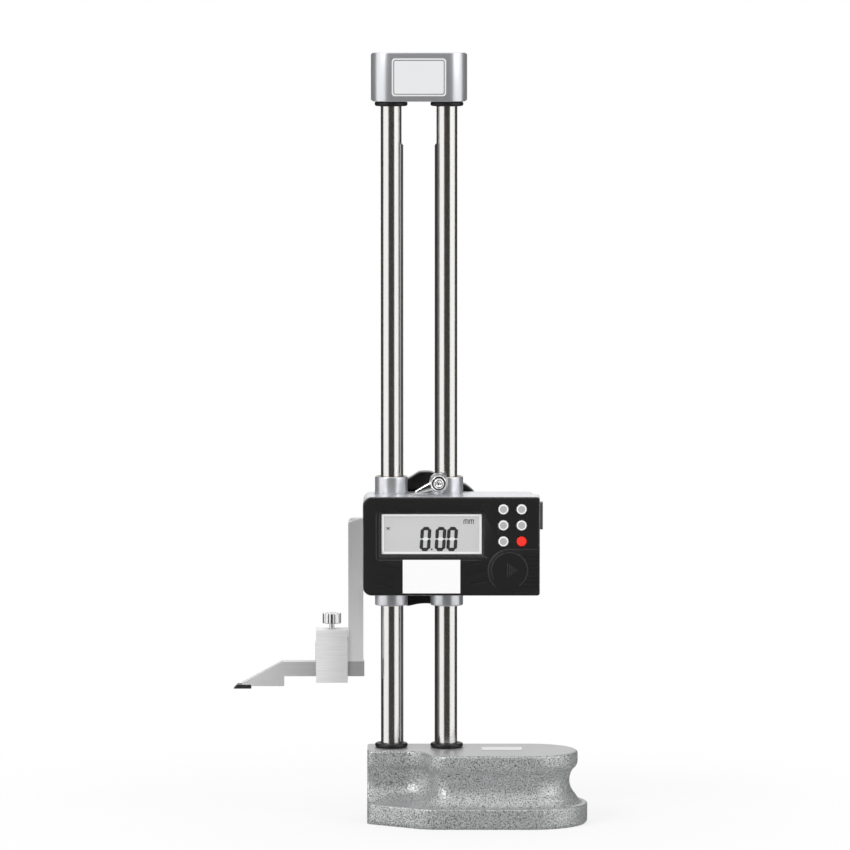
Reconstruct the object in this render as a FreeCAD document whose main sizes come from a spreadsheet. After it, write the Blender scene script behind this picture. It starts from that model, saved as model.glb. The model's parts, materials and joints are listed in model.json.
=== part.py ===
import FreeCAD, Part
import math
import operator
import os

import Sketcher
from FreeCAD import Placement, Rotation, Vector

# Digital height gauge with two columns. Millimetres, +Z up, +X to the right as
# the screen is read, -Y towards the reader. The origin is on the ground underside
# of the base, midway between the column axes. At rest the point of the scriber
# stands 84 mm above the surface that the base stands on.

# Driving sizes
SIZES = {
    # clearances
    "fixed_gap": 0.02,
    "running_gap": 0.05,
    "free_gap": 0.3,
    "seat_gap": 0.15,
    # base casting
    "base_left": 32.1,
    "base_right": 104.3,
    "base_back": 23.4,
    "base_front": 49.4,
    "base_height": 44.8,
    "foot_height": 13.0,
    "foot_end_radius": 35.6,
    "foot_back_radius": 10.0,
    "foot_slant_start": 24.5,
    "foot_slant_end": 4.5,
    "foot_slant_radius": 30.0,
    "foot_chamfer": 1.2,
    "table_inset": 6.0,
    "table_front_left": 18.0,
    "table_bend_start": 1.0,
    "table_bend_end": 8.0,
    "table_bend_radius": 15.0,
    "table_edge_round": 1.8,
    "table_left_radius": 4.0,
    "flute_depth": 5.1,
    "flute_radius_spare": 2.85,
    "flute_rise": 0.65,
    "table_thickness": 9.3,
    "shoulder_height": 16.0,
    "shoulder_width": 3.8,
    "shoulder_lip": 1.2,
    "foot_bevel": 1.6,
    "relief_left": 34.0,
    "relief_right": 90.0,
    "relief_margin": 14.0,
    "relief_depth": 3.0,
    "relief_radius": 8.0,
    # columns and their toothed strips
    "column_spacing": 34.4,
    "column_diameter": 13.0,
    "column_seat": 30.0,
    "column_chamfer": 0.8,
    "strip_chamfer": 1.0,
    "strip_width": 5.0,
    "strip_rim": 0.6,
    "strip_back": 4.0,
    "strip_tip": 7.5,
    "strip_foot": 3.6,
    "strip_top": 420.0,
    "strip_land": 2.4,
    "tooth_module": 1.0,
    "tooth_height": 0.8,
    "tooth_depth": 1.0,
    "tooth_angle": 20.0,
    "tooth_play": 0.12,
    "tooth_undercut": 0.16,
    # column bolts from below
    "bolt_diameter": 6.0,
    "bolt_reach": 14.0,
    "bolt_head_diameter": 10.0,
    "bolt_head_height": 6.0,
    "bolt_socket": 5.0,
    "bolt_socket_depth": 3.0,
    "bolt_recess_depth": 8.0,
    # top bracket
    "bracket_bottom": 446.0,
    "bracket_height": 30.0,
    "bracket_length": 59.4,
    "bracket_depth": 25.0,
    "bracket_bore_depth": 24.0,
    "bracket_end_radius": 12.2,
    "bracket_bevel": 1.2,
    "bracket_screw_height": 15.0,
    "bracket_screw_diameter": 5.0,
    "bracket_screw_socket": 2.5,
    "bracket_plate_width": 33.5,
    "bracket_plate_height": 23.3,
    "bracket_plate_round": 2.0,
    "plate_thickness": 0.3,
    "base_plate_centre": 51.3,
    "base_plate_depth": 8.7,
    "base_plate_width": 25.0,
    "base_plate_height": 14.0,
    # rubber rings at the ends of the travel
    "ring_diameter": 20.4,
    "ring_thickness": 3.0,
    "ring_bevel": 0.8,
    # slider casting
    "slider_bottom": 143.2,
    "slider_tall": 60.2,
    "slider_left": 34.2,
    "slider_right": 74.0,
    "slider_back": 10.0,
    "block_front": 12.0,
    "block_step": 3.8,
    "block_radius": 5.0,
    "tray_lip": 0.4,
    "tray_wall": 2.0,
    "tray_floor": 2.0,
    "collar_diameter": 20.2,
    "collar_height": 10.6,
    "collar_drop": 9.4,
    "collar_bevel": 0.8,
    "bush_diameter": 17.0,
    "bush_length": 24.0,
    "bush_slot": 5.8,
    "gear_room_wall": 0.48,
    "gear_room_gap": 1.0,
    "gear_room_front": 7.0,
    "gear_slot_half": 3.0,
    "light_room_wall": 5.3,
    "light_room_gap": 1.2,
    "light_room_margin": 3.6,
    "light_room_back": 6.0,
    # front housing of black plastic
    "front_face": 33.0,
    "front_wall": 2.4,
    "front_left_radius": 5.0,
    "front_right_radius": 1.3,
    "front_edge_bevel": 0.5,
    "skirt_depth": 4.0,
    "skirt_wall": 1.1,
    "screw_post_diameter": 5.2,
    "screw_post_length": 4.6,
    "screw_post_inset": 4.6,
    "screw_post_rise": 4.5,
    "front_screw_diameter": 2.5,
    "front_screw_head": 4.6,
    "front_screw_head_height": 1.8,
    "front_screw_reach": 13.0,
    # screen
    "screen_inset": 9.4,
    "screen_gap": 2.7,
    "screen_drop": 8.3,
    "screen_tall": 28.4,
    "screen_round": 1.4,
    "screen_ledge": 1.5,
    "window_thickness": 1.0,
    "window_set_back": 0.5,
    "bezel_margin": 1.8,
    "bezel_width": 3.2,
    "bezel_thickness": 0.8,
    "panel_thickness": 2.4,
    "contact_strip_height": 2.0,
    # label on the front
    "label_left": 10.0,
    "label_right": 25.4,
    "label_rise": 1.3,
    "label_gap": 1.5,
    "label_thickness": 0.2,
    # grooves moulded beside the label
    "groove_depth": 0.35,
    "groove_width": 0.8,
    "groove_gap": 2.2,
    "groove_length": 10.7,
    "groove_slope": 9.5,
    "groove_drop": 4.0,
    "groove_foot": 5.1,
    "groove_shift": 1.9,
    # push buttons
    "button_inset": 10.9,
    "button_spacing": 11.2,
    "button_wall": 0.35,
    "button_diameter": 6.4,
    "button_flange": 7.6,
    "button_flange_gap": 0.35,
    "button_flange_thickness": 0.7,
    "button_height": 0.8,
    "button_dish": 0.25,
    "button_rim": 0.6,
    # battery and its cover
    "cell_inset": 18.3,
    "cell_diameter": 20.0,
    "cell_thickness": 3.2,
    "cell_bevel": 0.3,
    "cover_wall": 1.25,
    "cover_radius": 13.5,
    "cover_disc_radius": 11.3,
    "cover_disc_rise": 0.25,
    "cover_thickness": 0.8,
    "cover_tongue": 0.5,
    "cover_tongue_thickness": 0.7,
    "cover_slide_gap": 0.15,
    "cover_rib_reach": 8.7,
    "cover_rib_margin": 1.5,
    "cover_rib_pitch": 2.6,
    "cover_rib_count": 8.0,
    "cover_rib_width": 0.9,
    "cup_wall": 1.5,
    "cup_floor": 0.8,
    "contact_diameter": 10.0,
    "contact_thickness": 0.3,
    # circuit board behind the front
    "board_thickness": 1.6,
    "board_face": 25.6,
    "board_gap": 0.4,
    "board_margin": 1.8,
    "keypad_margin": 1.2,
    "keypad_thickness": 2.9,
    # data port on the right
    "port_drop": 3.2,
    "port_tall": 16.7,
    "port_front": 29.4,
    "port_back": 20.6,
    "port_cover_thickness": 1.8,
    "port_open_rise": 3.5,
    "port_open_tall": 8.6,
    "port_open_depth": 5.4,
    "port_body_length": 5.0,
    # feed drive
    "feed_teeth": 13.0,
    "feed_shaft_diameter": 6.0,
    "gear_hub_wall": 0.9,
    "shaft_bush_wall": 1.5,
    "front_bush_length": 5.0,
    "wheel_front": 18.0,
    "wheel_thickness": 12.0,
    "wheel_radius": 42.8,
    "wheel_valley": 3.1,
    "wheel_lobes": 9.0,
    "wheel_scallop": 30.0,
    "wheel_lobe_round": 5.0,
    "wheel_bevel": 1.2,
    "wheel_rim_width": 11.0,
    "wheel_web": 4.0,
    "wheel_hub_diameter": 22.0,
    "wheel_screw_diameter": 4.0,
    "wheel_screw_head": 9.0,
    "wheel_screw_rise": 2.4,
    "wheel_screw_depth": 9.0,
    # measuring drive
    "sensor_gap": 0.5,
    "sensor_teeth": 12.0,
    "gear_stack_gap": 0.8,
    "sensor_shaft_diameter": 3.0,
    "rotor_diameter": 20.0,
    "rotor_thickness": 1.0,
    "rotor_lift": 1.0,
    "sensor_ring_wall": 1.2,
    "sensor_ring_gap": 0.8,
    "sensor_ring_height": 4.2,
    "sensor_board_thickness": 1.6,
    # cover plate behind the gears
    "gear_cover_thickness": 2.0,
    "gear_cover_overlap": 3.0,
    "gear_cover_flange": 6.0,
    "gear_cover_round": 2.0,
    "bearing_boss_length": 5.0,
    "cover_screw_diameter": 2.0,
    "cover_screw_head": 3.8,
    "cover_screw_head_height": 1.3,
    "cover_screw_length": 6.0,
    "cover_screw_spread": 12.0,
    # clamp lever on the right collar
    "clamp_offset": 5.0,
    "clamp_drop": 3.1,
    "clamp_boss_diameter": 11.6,
    "clamp_boss_front": 13.6,
    "clamp_bore": 5.0,
    "clamp_pad_front": 8.0,
    "clamp_pad_back": 3.4,
    "lever_hub_diameter": 10.0,
    "lever_thickness": 5.0,
    "lever_length": 14.8,
    "lever_rest_gap": 0.5,
    "lever_arm_inset": 0.8,
    "lever_root": 3.4,
    "lever_tip": 0.7,
    "lever_tip_round": 0.5,
    "lever_hub_bevel": 0.7,
    "lever_head_diameter": 6.6,
    "lever_head_height": 1.6,
    # heads of the small socket screws
    "head_bevel": 0.8,
    "head_socket": 3.0,
    "head_socket_depth": 1.2,
    # measuring jaw and scriber
    "jaw_width": 9.3,
    "jaw_depth": 9.0,
    "jaw_drop": 15.6,
    "jaw_reach": 44.4,
    "jaw_foot_lip": 0.5,
    "jaw_foot_height": 12.4,
    "jaw_corner": 3.0,
    "jaw_screw_diameter": 4.0,
    "jaw_screw_head": 7.0,
    "jaw_screw_head_height": 4.0,
    "jaw_screw_reach": 7.0,
    "jaw_screw_rise": 12.8,
    "jaw_screw_pitch": 24.0,
    "scriber_height": 9.0,
    "scriber_tail": 0.6,
    "scriber_shank": 50.9,
    "scriber_step": 1.1,
    "scriber_slope": 19.3,
    "scriber_nose": 5.6,
    "scriber_nose_drop": 6.2,
    "scriber_nose_lip": 0.9,
    "carbide_point": 5.3,
    "carbide_height": 2.5,
    "clamp_frame_gap": 0.4,
    "clamp_frame_width": 19.6,
    "clamp_frame_wall": 2.0,
    "clamp_frame_floor": 3.7,
    "clamp_frame_roof": 3.8,
    "clamp_frame_round": 0.6,
    "pad_travel": 1.2,
    "pad_thickness": 2.4,
    "pad_width": 12.0,
    "thumb_diameter": 11.8,
    "thumb_height": 6.7,
    "thumb_rise": 3.1,
    "thumb_screw_diameter": 4.0,
    "thumb_bevel": 0.55,
    "thumb_flutes": 10.0,
    "thumb_flute_radius": 1.1,
    "thumb_flute_offset": 0.4,
}

SIGNS = {"+": operator.add, "-": operator.sub, "*": operator.mul, "/": operator.truediv}


def words(amount):
    """Give an amount as the text of a formula."""
    return amount.formula if isinstance(amount, Size) else repr(float(amount))


def joined(left, sign, right):
    """Join two amounts by a sign, as a number and as a formula at once."""
    number = SIGNS[sign](float(left), float(right))
    return Size(number, "(" + words(left) + " " + sign + " " + words(right) + ")")


class Size(float):
    """A number that also carries its formula in the sheet's names."""

    def __new__(cls, number, formula):
        made = super().__new__(cls, number)
        made.formula = formula
        return made

    def __add__(self, other):
        return joined(self, "+", other)

    def __radd__(self, other):
        return joined(other, "+", self)

    def __sub__(self, other):
        return joined(self, "-", other)

    def __rsub__(self, other):
        return joined(other, "-", self)

    def __mul__(self, other):
        return joined(self, "*", other)

    def __rmul__(self, other):
        return joined(other, "*", self)

    def __truediv__(self, other):
        return joined(self, "/", other)

    def __neg__(self):
        return joined(0.0, "-", self)


class Names:
    """The driving sizes, each under its own name."""


os.makedirs("parts", exist_ok=True)
doc = FreeCAD.newDocument("HeightGauge")
sheet = doc.addObject("Spreadsheet::Sheet", "Sizes")
d = Names()
for row, (word, number) in enumerate(SIZES.items(), start=1):
    cell = "A" + str(row)
    sheet.set(cell, str(number))
    sheet.setAlias(cell, word)
    setattr(d, word, Size(number, "Sizes." + word))
doc.recompute()

PLANES = {"x": "YZ_Plane", "y": "XZ_Plane", "z": "XY_Plane"}
AXES = {"x": "X_Axis", "y": "Y_Axis", "z": "Z_Axis"}
TURNS = {
    "x": Rotation(Vector(0, 1, 0), 90),
    "y": Rotation(Vector(1, 0, 0), -90),
    "z": Rotation(),
}
made = {}


def bind(thing, name, amount):
    """Set a property, through the sheet when the amount has a formula."""
    if isinstance(amount, Size):
        thing.setExpression(name, amount.formula)
    else:
        setattr(thing, name, amount)


def piece(label, place=(0, 0, 0), axis="z"):
    """Start a sub-part whose own Z axis lies along the given axis."""
    body = doc.addObject("PartDesign::Body", label)
    body.Label = label
    body.Placement = Placement(Vector(*[float(part) for part in place]), TURNS[axis])
    for letter, part in zip("xyz", place):
        if isinstance(part, Size):
            body.setExpression("Placement.Base." + letter, part.formula)
    made[label] = body
    return body


def origin_part(body, role):
    """Find a plane or an axis of the sub-part's own origin."""
    return [part for part in body.Origin.OriginFeatures if part.Role == role][0]


class Drawing:
    """A sketch whose points are all held by their distances from its origin."""

    def __init__(self, body, across, level=0.0):
        self.body = body
        self.across = across
        self.sketch = body.newObject("Sketcher::SketchObject", body.Label + "_sketch")
        self.sketch.AttachmentSupport = [(origin_part(body, PLANES[across]), "")]
        self.sketch.MapMode = "FlatFace"
        # The XZ plane's own normal points to -Y.
        lift = -level if across == "y" else level
        self.sketch.AttachmentOffset = Placement(Vector(0, 0, float(lift)), Rotation())
        if isinstance(lift, Size):
            self.sketch.setExpression("AttachmentOffset.Base.z", lift.formula)

    def hold(self, kind, *where, amount):
        """Add one dimension and tie it to the sheet."""
        number = self.sketch.addConstraint(Sketcher.Constraint(kind, *where, float(amount)))
        if isinstance(amount, Size):
            self.sketch.setExpression("Constraints[" + str(number) + "]", amount.formula)

    def hold_point(self, shape, end, x, y):
        """Hold a point at its two distances from the sketch origin."""
        self.hold("DistanceX", -1, 1, shape, end, amount=x)
        self.hold("DistanceY", -1, 1, shape, end, amount=y)

    def circle(self, x, y, radius):
        """Draw a circle."""
        shape = self.sketch.addGeometry(
            Part.Circle(Vector(float(x), float(y), 0), Vector(0, 0, 1), float(radius)), False)
        self.hold_point(shape, 3, x, y)
        self.hold("Radius", shape, amount=radius)
        return self

    def box(self, x0, y0, x1, y1, radius=0):
        """Draw a rectangle, with rounded corners if a radius is given."""
        corners = [(x0, y0), (x1, y0), (x1, y1), (x0, y1)]
        return self.outline([(x, y, radius) for x, y in corners])

    def outline(self, corners, closed=True):
        """Draw straight runs between corners, each corner sharp or rounded by its radius."""
        rounds = []
        count = len(corners)
        for index, (x, y, radius) in enumerate(corners):
            here = Vector(float(x), float(y), 0)
            rounds.append({"enter": here, "leave": here, "arc": None})
            if not radius:
                continue
            back = corners[index - 1]
            ahead = corners[(index + 1) % count]
            to_back = (Vector(float(back[0]), float(back[1]), 0) - here).normalize()
            to_ahead = (Vector(float(ahead[0]), float(ahead[1]), 0) - here).normalize()
            half = to_back.getAngle(to_ahead) / 2
            run = float(radius) / math.tan(half)
            centre = here + (to_back + to_ahead).normalize() * (float(radius) / math.sin(half))
            enter = here + to_back * run
            leave = here + to_ahead * run
            left_turn = to_back.cross(to_ahead).z < 0
            first, last = (enter, leave) if left_turn else (leave, enter)
            start = math.atan2(first.y - centre.y, first.x - centre.x)
            stop = math.atan2(last.y - centre.y, last.x - centre.x)
            circle = Part.Circle(centre, Vector(0, 0, 1), float(radius))
            arc = self.sketch.addGeometry(Part.ArcOfCircle(circle, start, stop), False)
            rounds[index] = {"enter": enter, "leave": leave, "arc": arc,
                             "enter_end": 1 if left_turn else 2,
                             "leave_end": 2 if left_turn else 1}
        lines = {}
        for index in range(count if closed else count - 1):
            ahead = (index + 1) % count
            lines[index] = self.sketch.addGeometry(
                Part.LineSegment(rounds[index]["leave"], rounds[ahead]["enter"]), False)
        for index, (x, y, radius) in enumerate(corners):
            before = lines.get((index - 1) % count) if closed or index else None
            after = lines.get(index)
            if rounds[index]["arc"] is None:
                if before is not None and after is not None:
                    self.sketch.addConstraint(
                        Sketcher.Constraint("Coincident", before, 2, after, 1))
                if after is not None:
                    self.hold_point(after, 1, x, y)
                else:
                    self.hold_point(before, 2, x, y)
                continue
            corner = self.sketch.addGeometry(Part.Point(Vector(float(x), float(y), 0)), True)
            self.hold_point(corner, 1, x, y)
            arc = rounds[index]["arc"]
            self.sketch.addConstraint([
                Sketcher.Constraint("PointOnObject", corner, 1, before),
                Sketcher.Constraint("PointOnObject", corner, 1, after),
                Sketcher.Constraint("Tangent", before, 2, arc, rounds[index]["enter_end"]),
                Sketcher.Constraint("Tangent", after, 1, arc, rounds[index]["leave_end"]),
            ])
            self.hold("Radius", arc, amount=radius)
        return self


def feature(body, kind, drawing=None):
    """Add a feature to a sub-part, on a drawing if it needs one."""
    made_feature = body.newObject("PartDesign::" + kind, body.Label + "_" + kind.lower())
    if drawing is not None:
        made_feature.Profile = drawing.sketch
        drawing.sketch.Visibility = False
    return made_feature


def pad(body, across, low, high, draw):
    """Raise a drawn outline from one level to another along an axis."""
    drawing = Drawing(body, across, high if across == "y" else low)
    draw(drawing)
    raised = feature(body, "Pad", drawing)
    bind(raised, "Length", high - low)
    doc.recompute()
    return raised


def pocket(body, across, low, high, draw):
    """Cut a drawn outline between two levels along an axis."""
    drawing = Drawing(body, across, low if across == "y" else high)
    draw(drawing)
    cut = feature(body, "Pocket", drawing)
    bind(cut, "Length", high - low)
    doc.recompute()
    return cut


def turned(body, corners):
    """Turn a half section, given as radius and height, about the sub-part's own Z axis."""
    drawing = Drawing(body, "y")
    drawing.outline(corners)
    spun = feature(body, "Revolution", drawing)
    spun.ReferenceAxis = (origin_part(body, AXES["z"]), [""])
    spun.Angle = 360
    doc.recompute()
    return spun


def soften(body, kind, radius, chosen):
    """Round or bevel the edges that a test picks out."""
    base = body.Tip
    names = [
        "Edge" + str(number)
        for number, edge in enumerate(base.Shape.Edges, start=1)
        if edge.Length > 0.01 and chosen(edge)
    ]
    softened = feature(body, kind)
    softened.Base = (base, names)
    bind(softened, "Radius" if kind == "Fillet" else "Size", radius)
    doc.recompute()
    return softened


def level_edge(edge, axis, level):
    """Tell whether an edge lies wholly at one level along an axis."""
    box = edge.BoundBox
    low = getattr(box, axis.upper() + "Min")
    high = getattr(box, axis.upper() + "Max")
    return abs(low - float(level)) < 0.01 and abs(high - float(level)) < 0.01


def upright_edge(edge, axis):
    """Tell whether an edge is a straight one along an axis."""
    if not isinstance(edge.Curve, Part.Line):
        return False
    return abs(getattr(edge.Curve.Direction, axis)) > 0.999


def repeat(body, originals, steps):
    """Repeat features along one or more of the sub-part's axes."""
    rows = []
    for axis, spacing, count in steps:
        row = body.newObject("PartDesign::LinearPattern", body.Label + "_row")
        row.Direction = (origin_part(body, AXES[axis]), [""])
        row.Mode = "Spacing"
        bind(row, "Offset", spacing)
        row.Occurrences = count
        rows.append(row)
    last = rows[0]
    if len(rows) > 1:
        last = body.newObject("PartDesign::MultiTransform", body.Label + "_grid")
    last.Originals = originals
    if len(rows) > 1:
        last.Transformations = rows
    body.Tip = last
    doc.recompute()


def around(body, original, count):
    """Repeat a feature evenly about the sub-part's own Z axis."""
    ring = body.newObject("PartDesign::PolarPattern", body.Label + "_ring")
    ring.Originals = [original]
    ring.Axis = (origin_part(body, AXES["z"]), [""])
    ring.Angle = 360
    ring.Occurrences = count
    body.Tip = ring
    doc.recompute()
    return ring


# Places of the columns, their strips and the two gears
column_x = d.column_spacing / 2
column_radius = d.column_diameter / 2
column_foot = d.base_height - d.column_seat
table_underside = d.base_height - d.table_thickness
flute_height = (d.shoulder_height + table_underside) / 2 + d.flute_rise
flute_radius = (table_underside - d.shoulder_height) / 2 + d.flute_radius_spare
column_head = d.bracket_bottom + d.bracket_bore_depth
strip_foot = d.base_height + d.strip_foot
tooth_pitch = d.tooth_module * math.pi
feed_radius = d.tooth_module * d.feed_teeth / 2
sensor_radius = d.tooth_module * d.sensor_teeth / 2
mesh_reach = column_x - d.strip_tip + d.tooth_height
feed_x = mesh_reach - feed_radius
sensor_x = sensor_radius - mesh_reach

# Places of the slider casting and its tray
slider_top = d.slider_bottom + d.slider_tall
tray_front = d.front_wall - d.front_face
tray_back = -(d.block_front + d.tray_floor)
tray_left = -(d.slider_left + d.tray_lip)
tray_right = d.slider_right + d.tray_lip
tray_low = d.slider_bottom - d.tray_lip + d.tray_wall
tray_high = slider_top + d.tray_lip - d.tray_wall
block_right = tray_right - d.block_step
collar_top = slider_top + d.collar_height
collar_foot = d.slider_bottom - d.collar_drop
post_left = d.slider_left - d.screw_post_inset
post_right = d.slider_right - d.screw_post_inset

# Heights of the gears: the sensor ring stands on the tray's wall, the feed gear above
ring_inner = d.rotor_diameter / 2 + d.sensor_ring_gap
ring_outer = ring_inner + d.sensor_ring_wall
sensor_height = tray_low + d.sensor_gap + ring_outer
feed_tip = feed_radius + d.tooth_height
sensor_tip = sensor_radius + d.tooth_height
feed_height = sensor_height + sensor_tip + d.gear_stack_gap + feed_tip
gear_room_half = column_x - d.bush_diameter / 2 - d.fixed_gap - d.gear_room_wall
gear_room_low = sensor_height - sensor_tip - d.gear_room_gap
gear_room_high = feed_height + feed_tip + d.gear_room_gap

# Battery cover, from the front inwards: lip, tongue in its slot, cell, contact, cup
cell_x = d.slider_right - d.cell_inset
cell_z = d.slider_bottom + d.cover_wall + d.cover_slide_gap + d.cover_tongue + d.cover_radius
cell_hole = d.cell_diameter / 2 + d.free_gap
cover_lip = d.cover_thickness - d.front_face
tongue_front = cover_lip + d.cover_slide_gap
tongue_back = tongue_front + d.cover_tongue_thickness
slot_back = tongue_back + d.cover_slide_gap
cell_front = slot_back + d.cover_slide_gap
contact_front = cell_front + d.cell_thickness
cup_back = contact_front + d.contact_thickness

# Push buttons, between the cover's slot and the top of the skirt
slot_top = cell_z + d.cover_radius + d.cover_tongue + d.cover_slide_gap
button_right = d.slider_right - d.button_inset
button_left = button_right - d.button_spacing
button_low = slot_top + d.button_wall + d.free_gap + d.button_diameter / 2
skirt_high = tray_high - d.seat_gap - d.skirt_wall
button_high = skirt_high - d.button_flange_gap - d.button_flange / 2

# Screen, label and circuit board
screen_floor = d.screen_ledge - d.front_face
screen_left = d.screen_inset - d.slider_left
screen_right = cell_x - cell_hole - d.cup_wall - d.bezel_thickness - d.screen_gap
screen_high = slider_top - d.screen_drop
screen_low = screen_high - d.screen_tall
label_low = d.slider_bottom + d.label_rise
label_high = screen_low - d.label_gap
board_left = d.board_gap + d.screw_post_diameter / 2 - post_left
board_right = post_right - d.screw_post_diameter / 2 - d.board_gap
board_low = tray_low + d.board_margin
board_high = tray_high - d.board_margin

# Data port and its cover
port_high = slider_top - d.port_drop
port_low = port_high - d.port_tall
port_open_low = port_low + d.port_open_rise
port_open_high = port_open_low + d.port_open_tall

# Clamp lever, which rests just above the tray
clamp_x = column_x - d.clamp_offset
clamp_z = collar_top - d.clamp_drop
lever_drop = clamp_z - slider_top - d.tray_lip - d.lever_rest_gap - d.lever_tip

# Jaw, scriber and the frame that clamps them
jaw_left = tray_left - d.jaw_width
jaw_low = d.slider_bottom - d.jaw_reach
jaw_foot = jaw_low + d.jaw_foot_height
jaw_screw_low = d.slider_bottom + d.jaw_screw_rise
jaw_screws = [(0.0, jaw_screw_low), (0.0, jaw_screw_low + d.jaw_screw_pitch)]
frame_right = jaw_left - d.clamp_frame_gap
frame_left = frame_right - d.clamp_frame_width
frame_roof = jaw_foot + d.free_gap + d.pad_thickness + d.pad_travel
frame_top = frame_roof + d.clamp_frame_roof


def table_corners(grow, flat_left):
    """Corners of the table's plan, grown outwards; its left end stays at one place."""
    back = d.base_back - d.table_inset + grow
    front = -(d.base_front - d.table_inset) - grow
    right = d.base_right - d.table_inset + grow
    end = d.foot_end_radius - d.table_inset + grow
    fall = (d.base_front - d.table_inset) - d.table_front_left
    lean = math.tan(math.atan2(fall, d.table_bend_end - d.table_bend_start) / 2)
    corners = [
        (right, back, end),
        (right, front, end),
        (d.table_bend_end - grow * lean, front, d.table_bend_radius + grow),
        (d.table_bend_start - grow * lean, -d.table_front_left - grow, d.table_bend_radius - grow),
    ]
    back_left = (-flat_left, back, d.table_left_radius)
    front_left = (-flat_left, -d.table_front_left - grow, d.table_left_radius)
    return back_left, corners, front_left


def foot_corners(shrink):
    """Corners of the foot's plan, drawn in by an amount except at the flat left end."""
    back = d.base_back - shrink
    front = -d.base_front + shrink
    right = d.base_right - shrink
    return [
        (-d.base_left, back, d.foot_back_radius - shrink),
        (right, back, d.foot_end_radius - shrink),
        (right, front, d.foot_end_radius - shrink),
        (d.foot_slant_end, front, d.foot_slant_radius - shrink),
        (-d.base_left, -d.foot_slant_start + shrink, d.table_inset - shrink),
    ]


def loft(body, low, low_corners, high, high_corners):
    """Join two outlines at two levels by a sloping wall."""
    lower = Drawing(body, "z", low)
    lower.outline(low_corners)
    upper = Drawing(body, "z", high)
    upper.outline(high_corners)
    wall = feature(body, "AdditiveLoft", lower)
    wall.Sections = [(upper.sketch, [""])]
    wall.Ruled = True
    doc.recompute()
    return wall


def table_loop(grow):
    """Put the table's corners in one closed order."""
    back_left, corners, front_left = table_corners(grow, d.base_left)
    return [back_left] + corners + [front_left]


def flute_section(drawing):
    """Draw the hollow between table and foot: an arc that opens outwards."""
    sketch = drawing.sketch
    wall = d.base_back - d.table_inset
    centre_y = wall - d.flute_depth + flute_radius
    high = table_underside
    low = d.shoulder_height
    outside = wall + d.shoulder_width

    def reach(level):
        rise = float(level - flute_height)
        return float(centre_y) - math.sqrt(float(flute_radius) ** 2 - rise ** 2)

    top = Vector(reach(high), float(high), 0)
    bottom = Vector(reach(low), float(low), 0)
    centre = Vector(float(centre_y), float(flute_height), 0)
    start = math.atan2(top.y - centre.y, top.x - centre.x)
    stop = math.atan2(bottom.y - centre.y, bottom.x - centre.x)
    circle = Part.Circle(centre, Vector(0, 0, 1), float(flute_radius))
    arc = sketch.addGeometry(Part.ArcOfCircle(circle, start, stop), False)
    corners = [top, Vector(float(outside), float(high), 0), Vector(float(outside), float(low), 0), bottom]
    runs = [
        sketch.addGeometry(Part.LineSegment(first, second), False)
        for first, second in zip(corners, corners[1:])
    ]
    sketch.addConstraint([
        Sketcher.Constraint("Coincident", arc, 1, runs[0], 1),
        Sketcher.Constraint("Coincident", runs[0], 2, runs[1], 1),
        Sketcher.Constraint("Coincident", runs[1], 2, runs[2], 1),
        Sketcher.Constraint("Coincident", runs[2], 2, arc, 2),
    ])
    drawing.hold_point(arc, 3, centre_y, flute_height)
    drawing.hold("Radius", arc, amount=flute_radius)
    drawing.hold("DistanceY", -1, 1, arc, 1, amount=high)
    drawing.hold("DistanceY", -1, 1, arc, 2, amount=low)
    drawing.hold_point(runs[1], 1, outside, high)
    drawing.hold_point(runs[2], 1, outside, low)


def base_casting():
    """Cast iron base: a ground foot, a fluted waist and a smooth table on top."""
    body = piece("base_casting")
    pad(body, "z", 0.0, d.base_height, lambda s: s.outline(table_loop(0.0)))
    soften(body, "Fillet", d.table_edge_round, lambda edge: level_edge(edge, "z", d.base_height))
    bevel_start = d.foot_height - d.foot_bevel
    pad(body, "z", 0.0, bevel_start, lambda s: s.outline(foot_corners(0.0)))
    soften(body, "Chamfer", d.foot_chamfer, lambda edge: level_edge(edge, "z", 0.0))
    loft(body, bevel_start, foot_corners(0.0), d.foot_height, foot_corners(d.foot_bevel))
    loft(body, d.foot_height, table_loop(d.shoulder_width), d.shoulder_height, table_loop(d.shoulder_lip))
    overshoot = d.base_left + d.shoulder_width
    spine = Drawing(body, "z", flute_height)
    back_left, corners, front_left = table_corners(0.0, overshoot)
    spine.outline([back_left[:2] + (0,)] + corners + [front_left[:2] + (0,)], closed=False)
    section = Drawing(body, "x", -overshoot)
    flute_section(section)
    flute = feature(body, "SubtractivePipe", section)
    flute.Spine = (spine.sketch, [""])
    spine.sketch.Visibility = False
    doc.recompute()
    bore = column_radius + d.fixed_gap
    pocket(body, "z", column_foot, d.base_height,
           lambda s: s.circle(-column_x, 0.0, bore).circle(column_x, 0.0, bore))
    hole = d.bolt_diameter / 2 + d.free_gap
    pocket(body, "z", 0.0, column_foot,
           lambda s: s.circle(-column_x, 0.0, hole).circle(column_x, 0.0, hole))
    recess = d.bolt_head_diameter / 2 + d.free_gap
    pocket(body, "z", 0.0, d.bolt_recess_depth,
           lambda s: s.circle(-column_x, 0.0, recess).circle(column_x, 0.0, recess))
    pocket(body, "z", 0.0, d.relief_depth,
           lambda s: s.box(d.relief_left, d.relief_margin - d.base_front, d.relief_right,
                           d.base_back - d.relief_margin, d.relief_radius))


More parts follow.
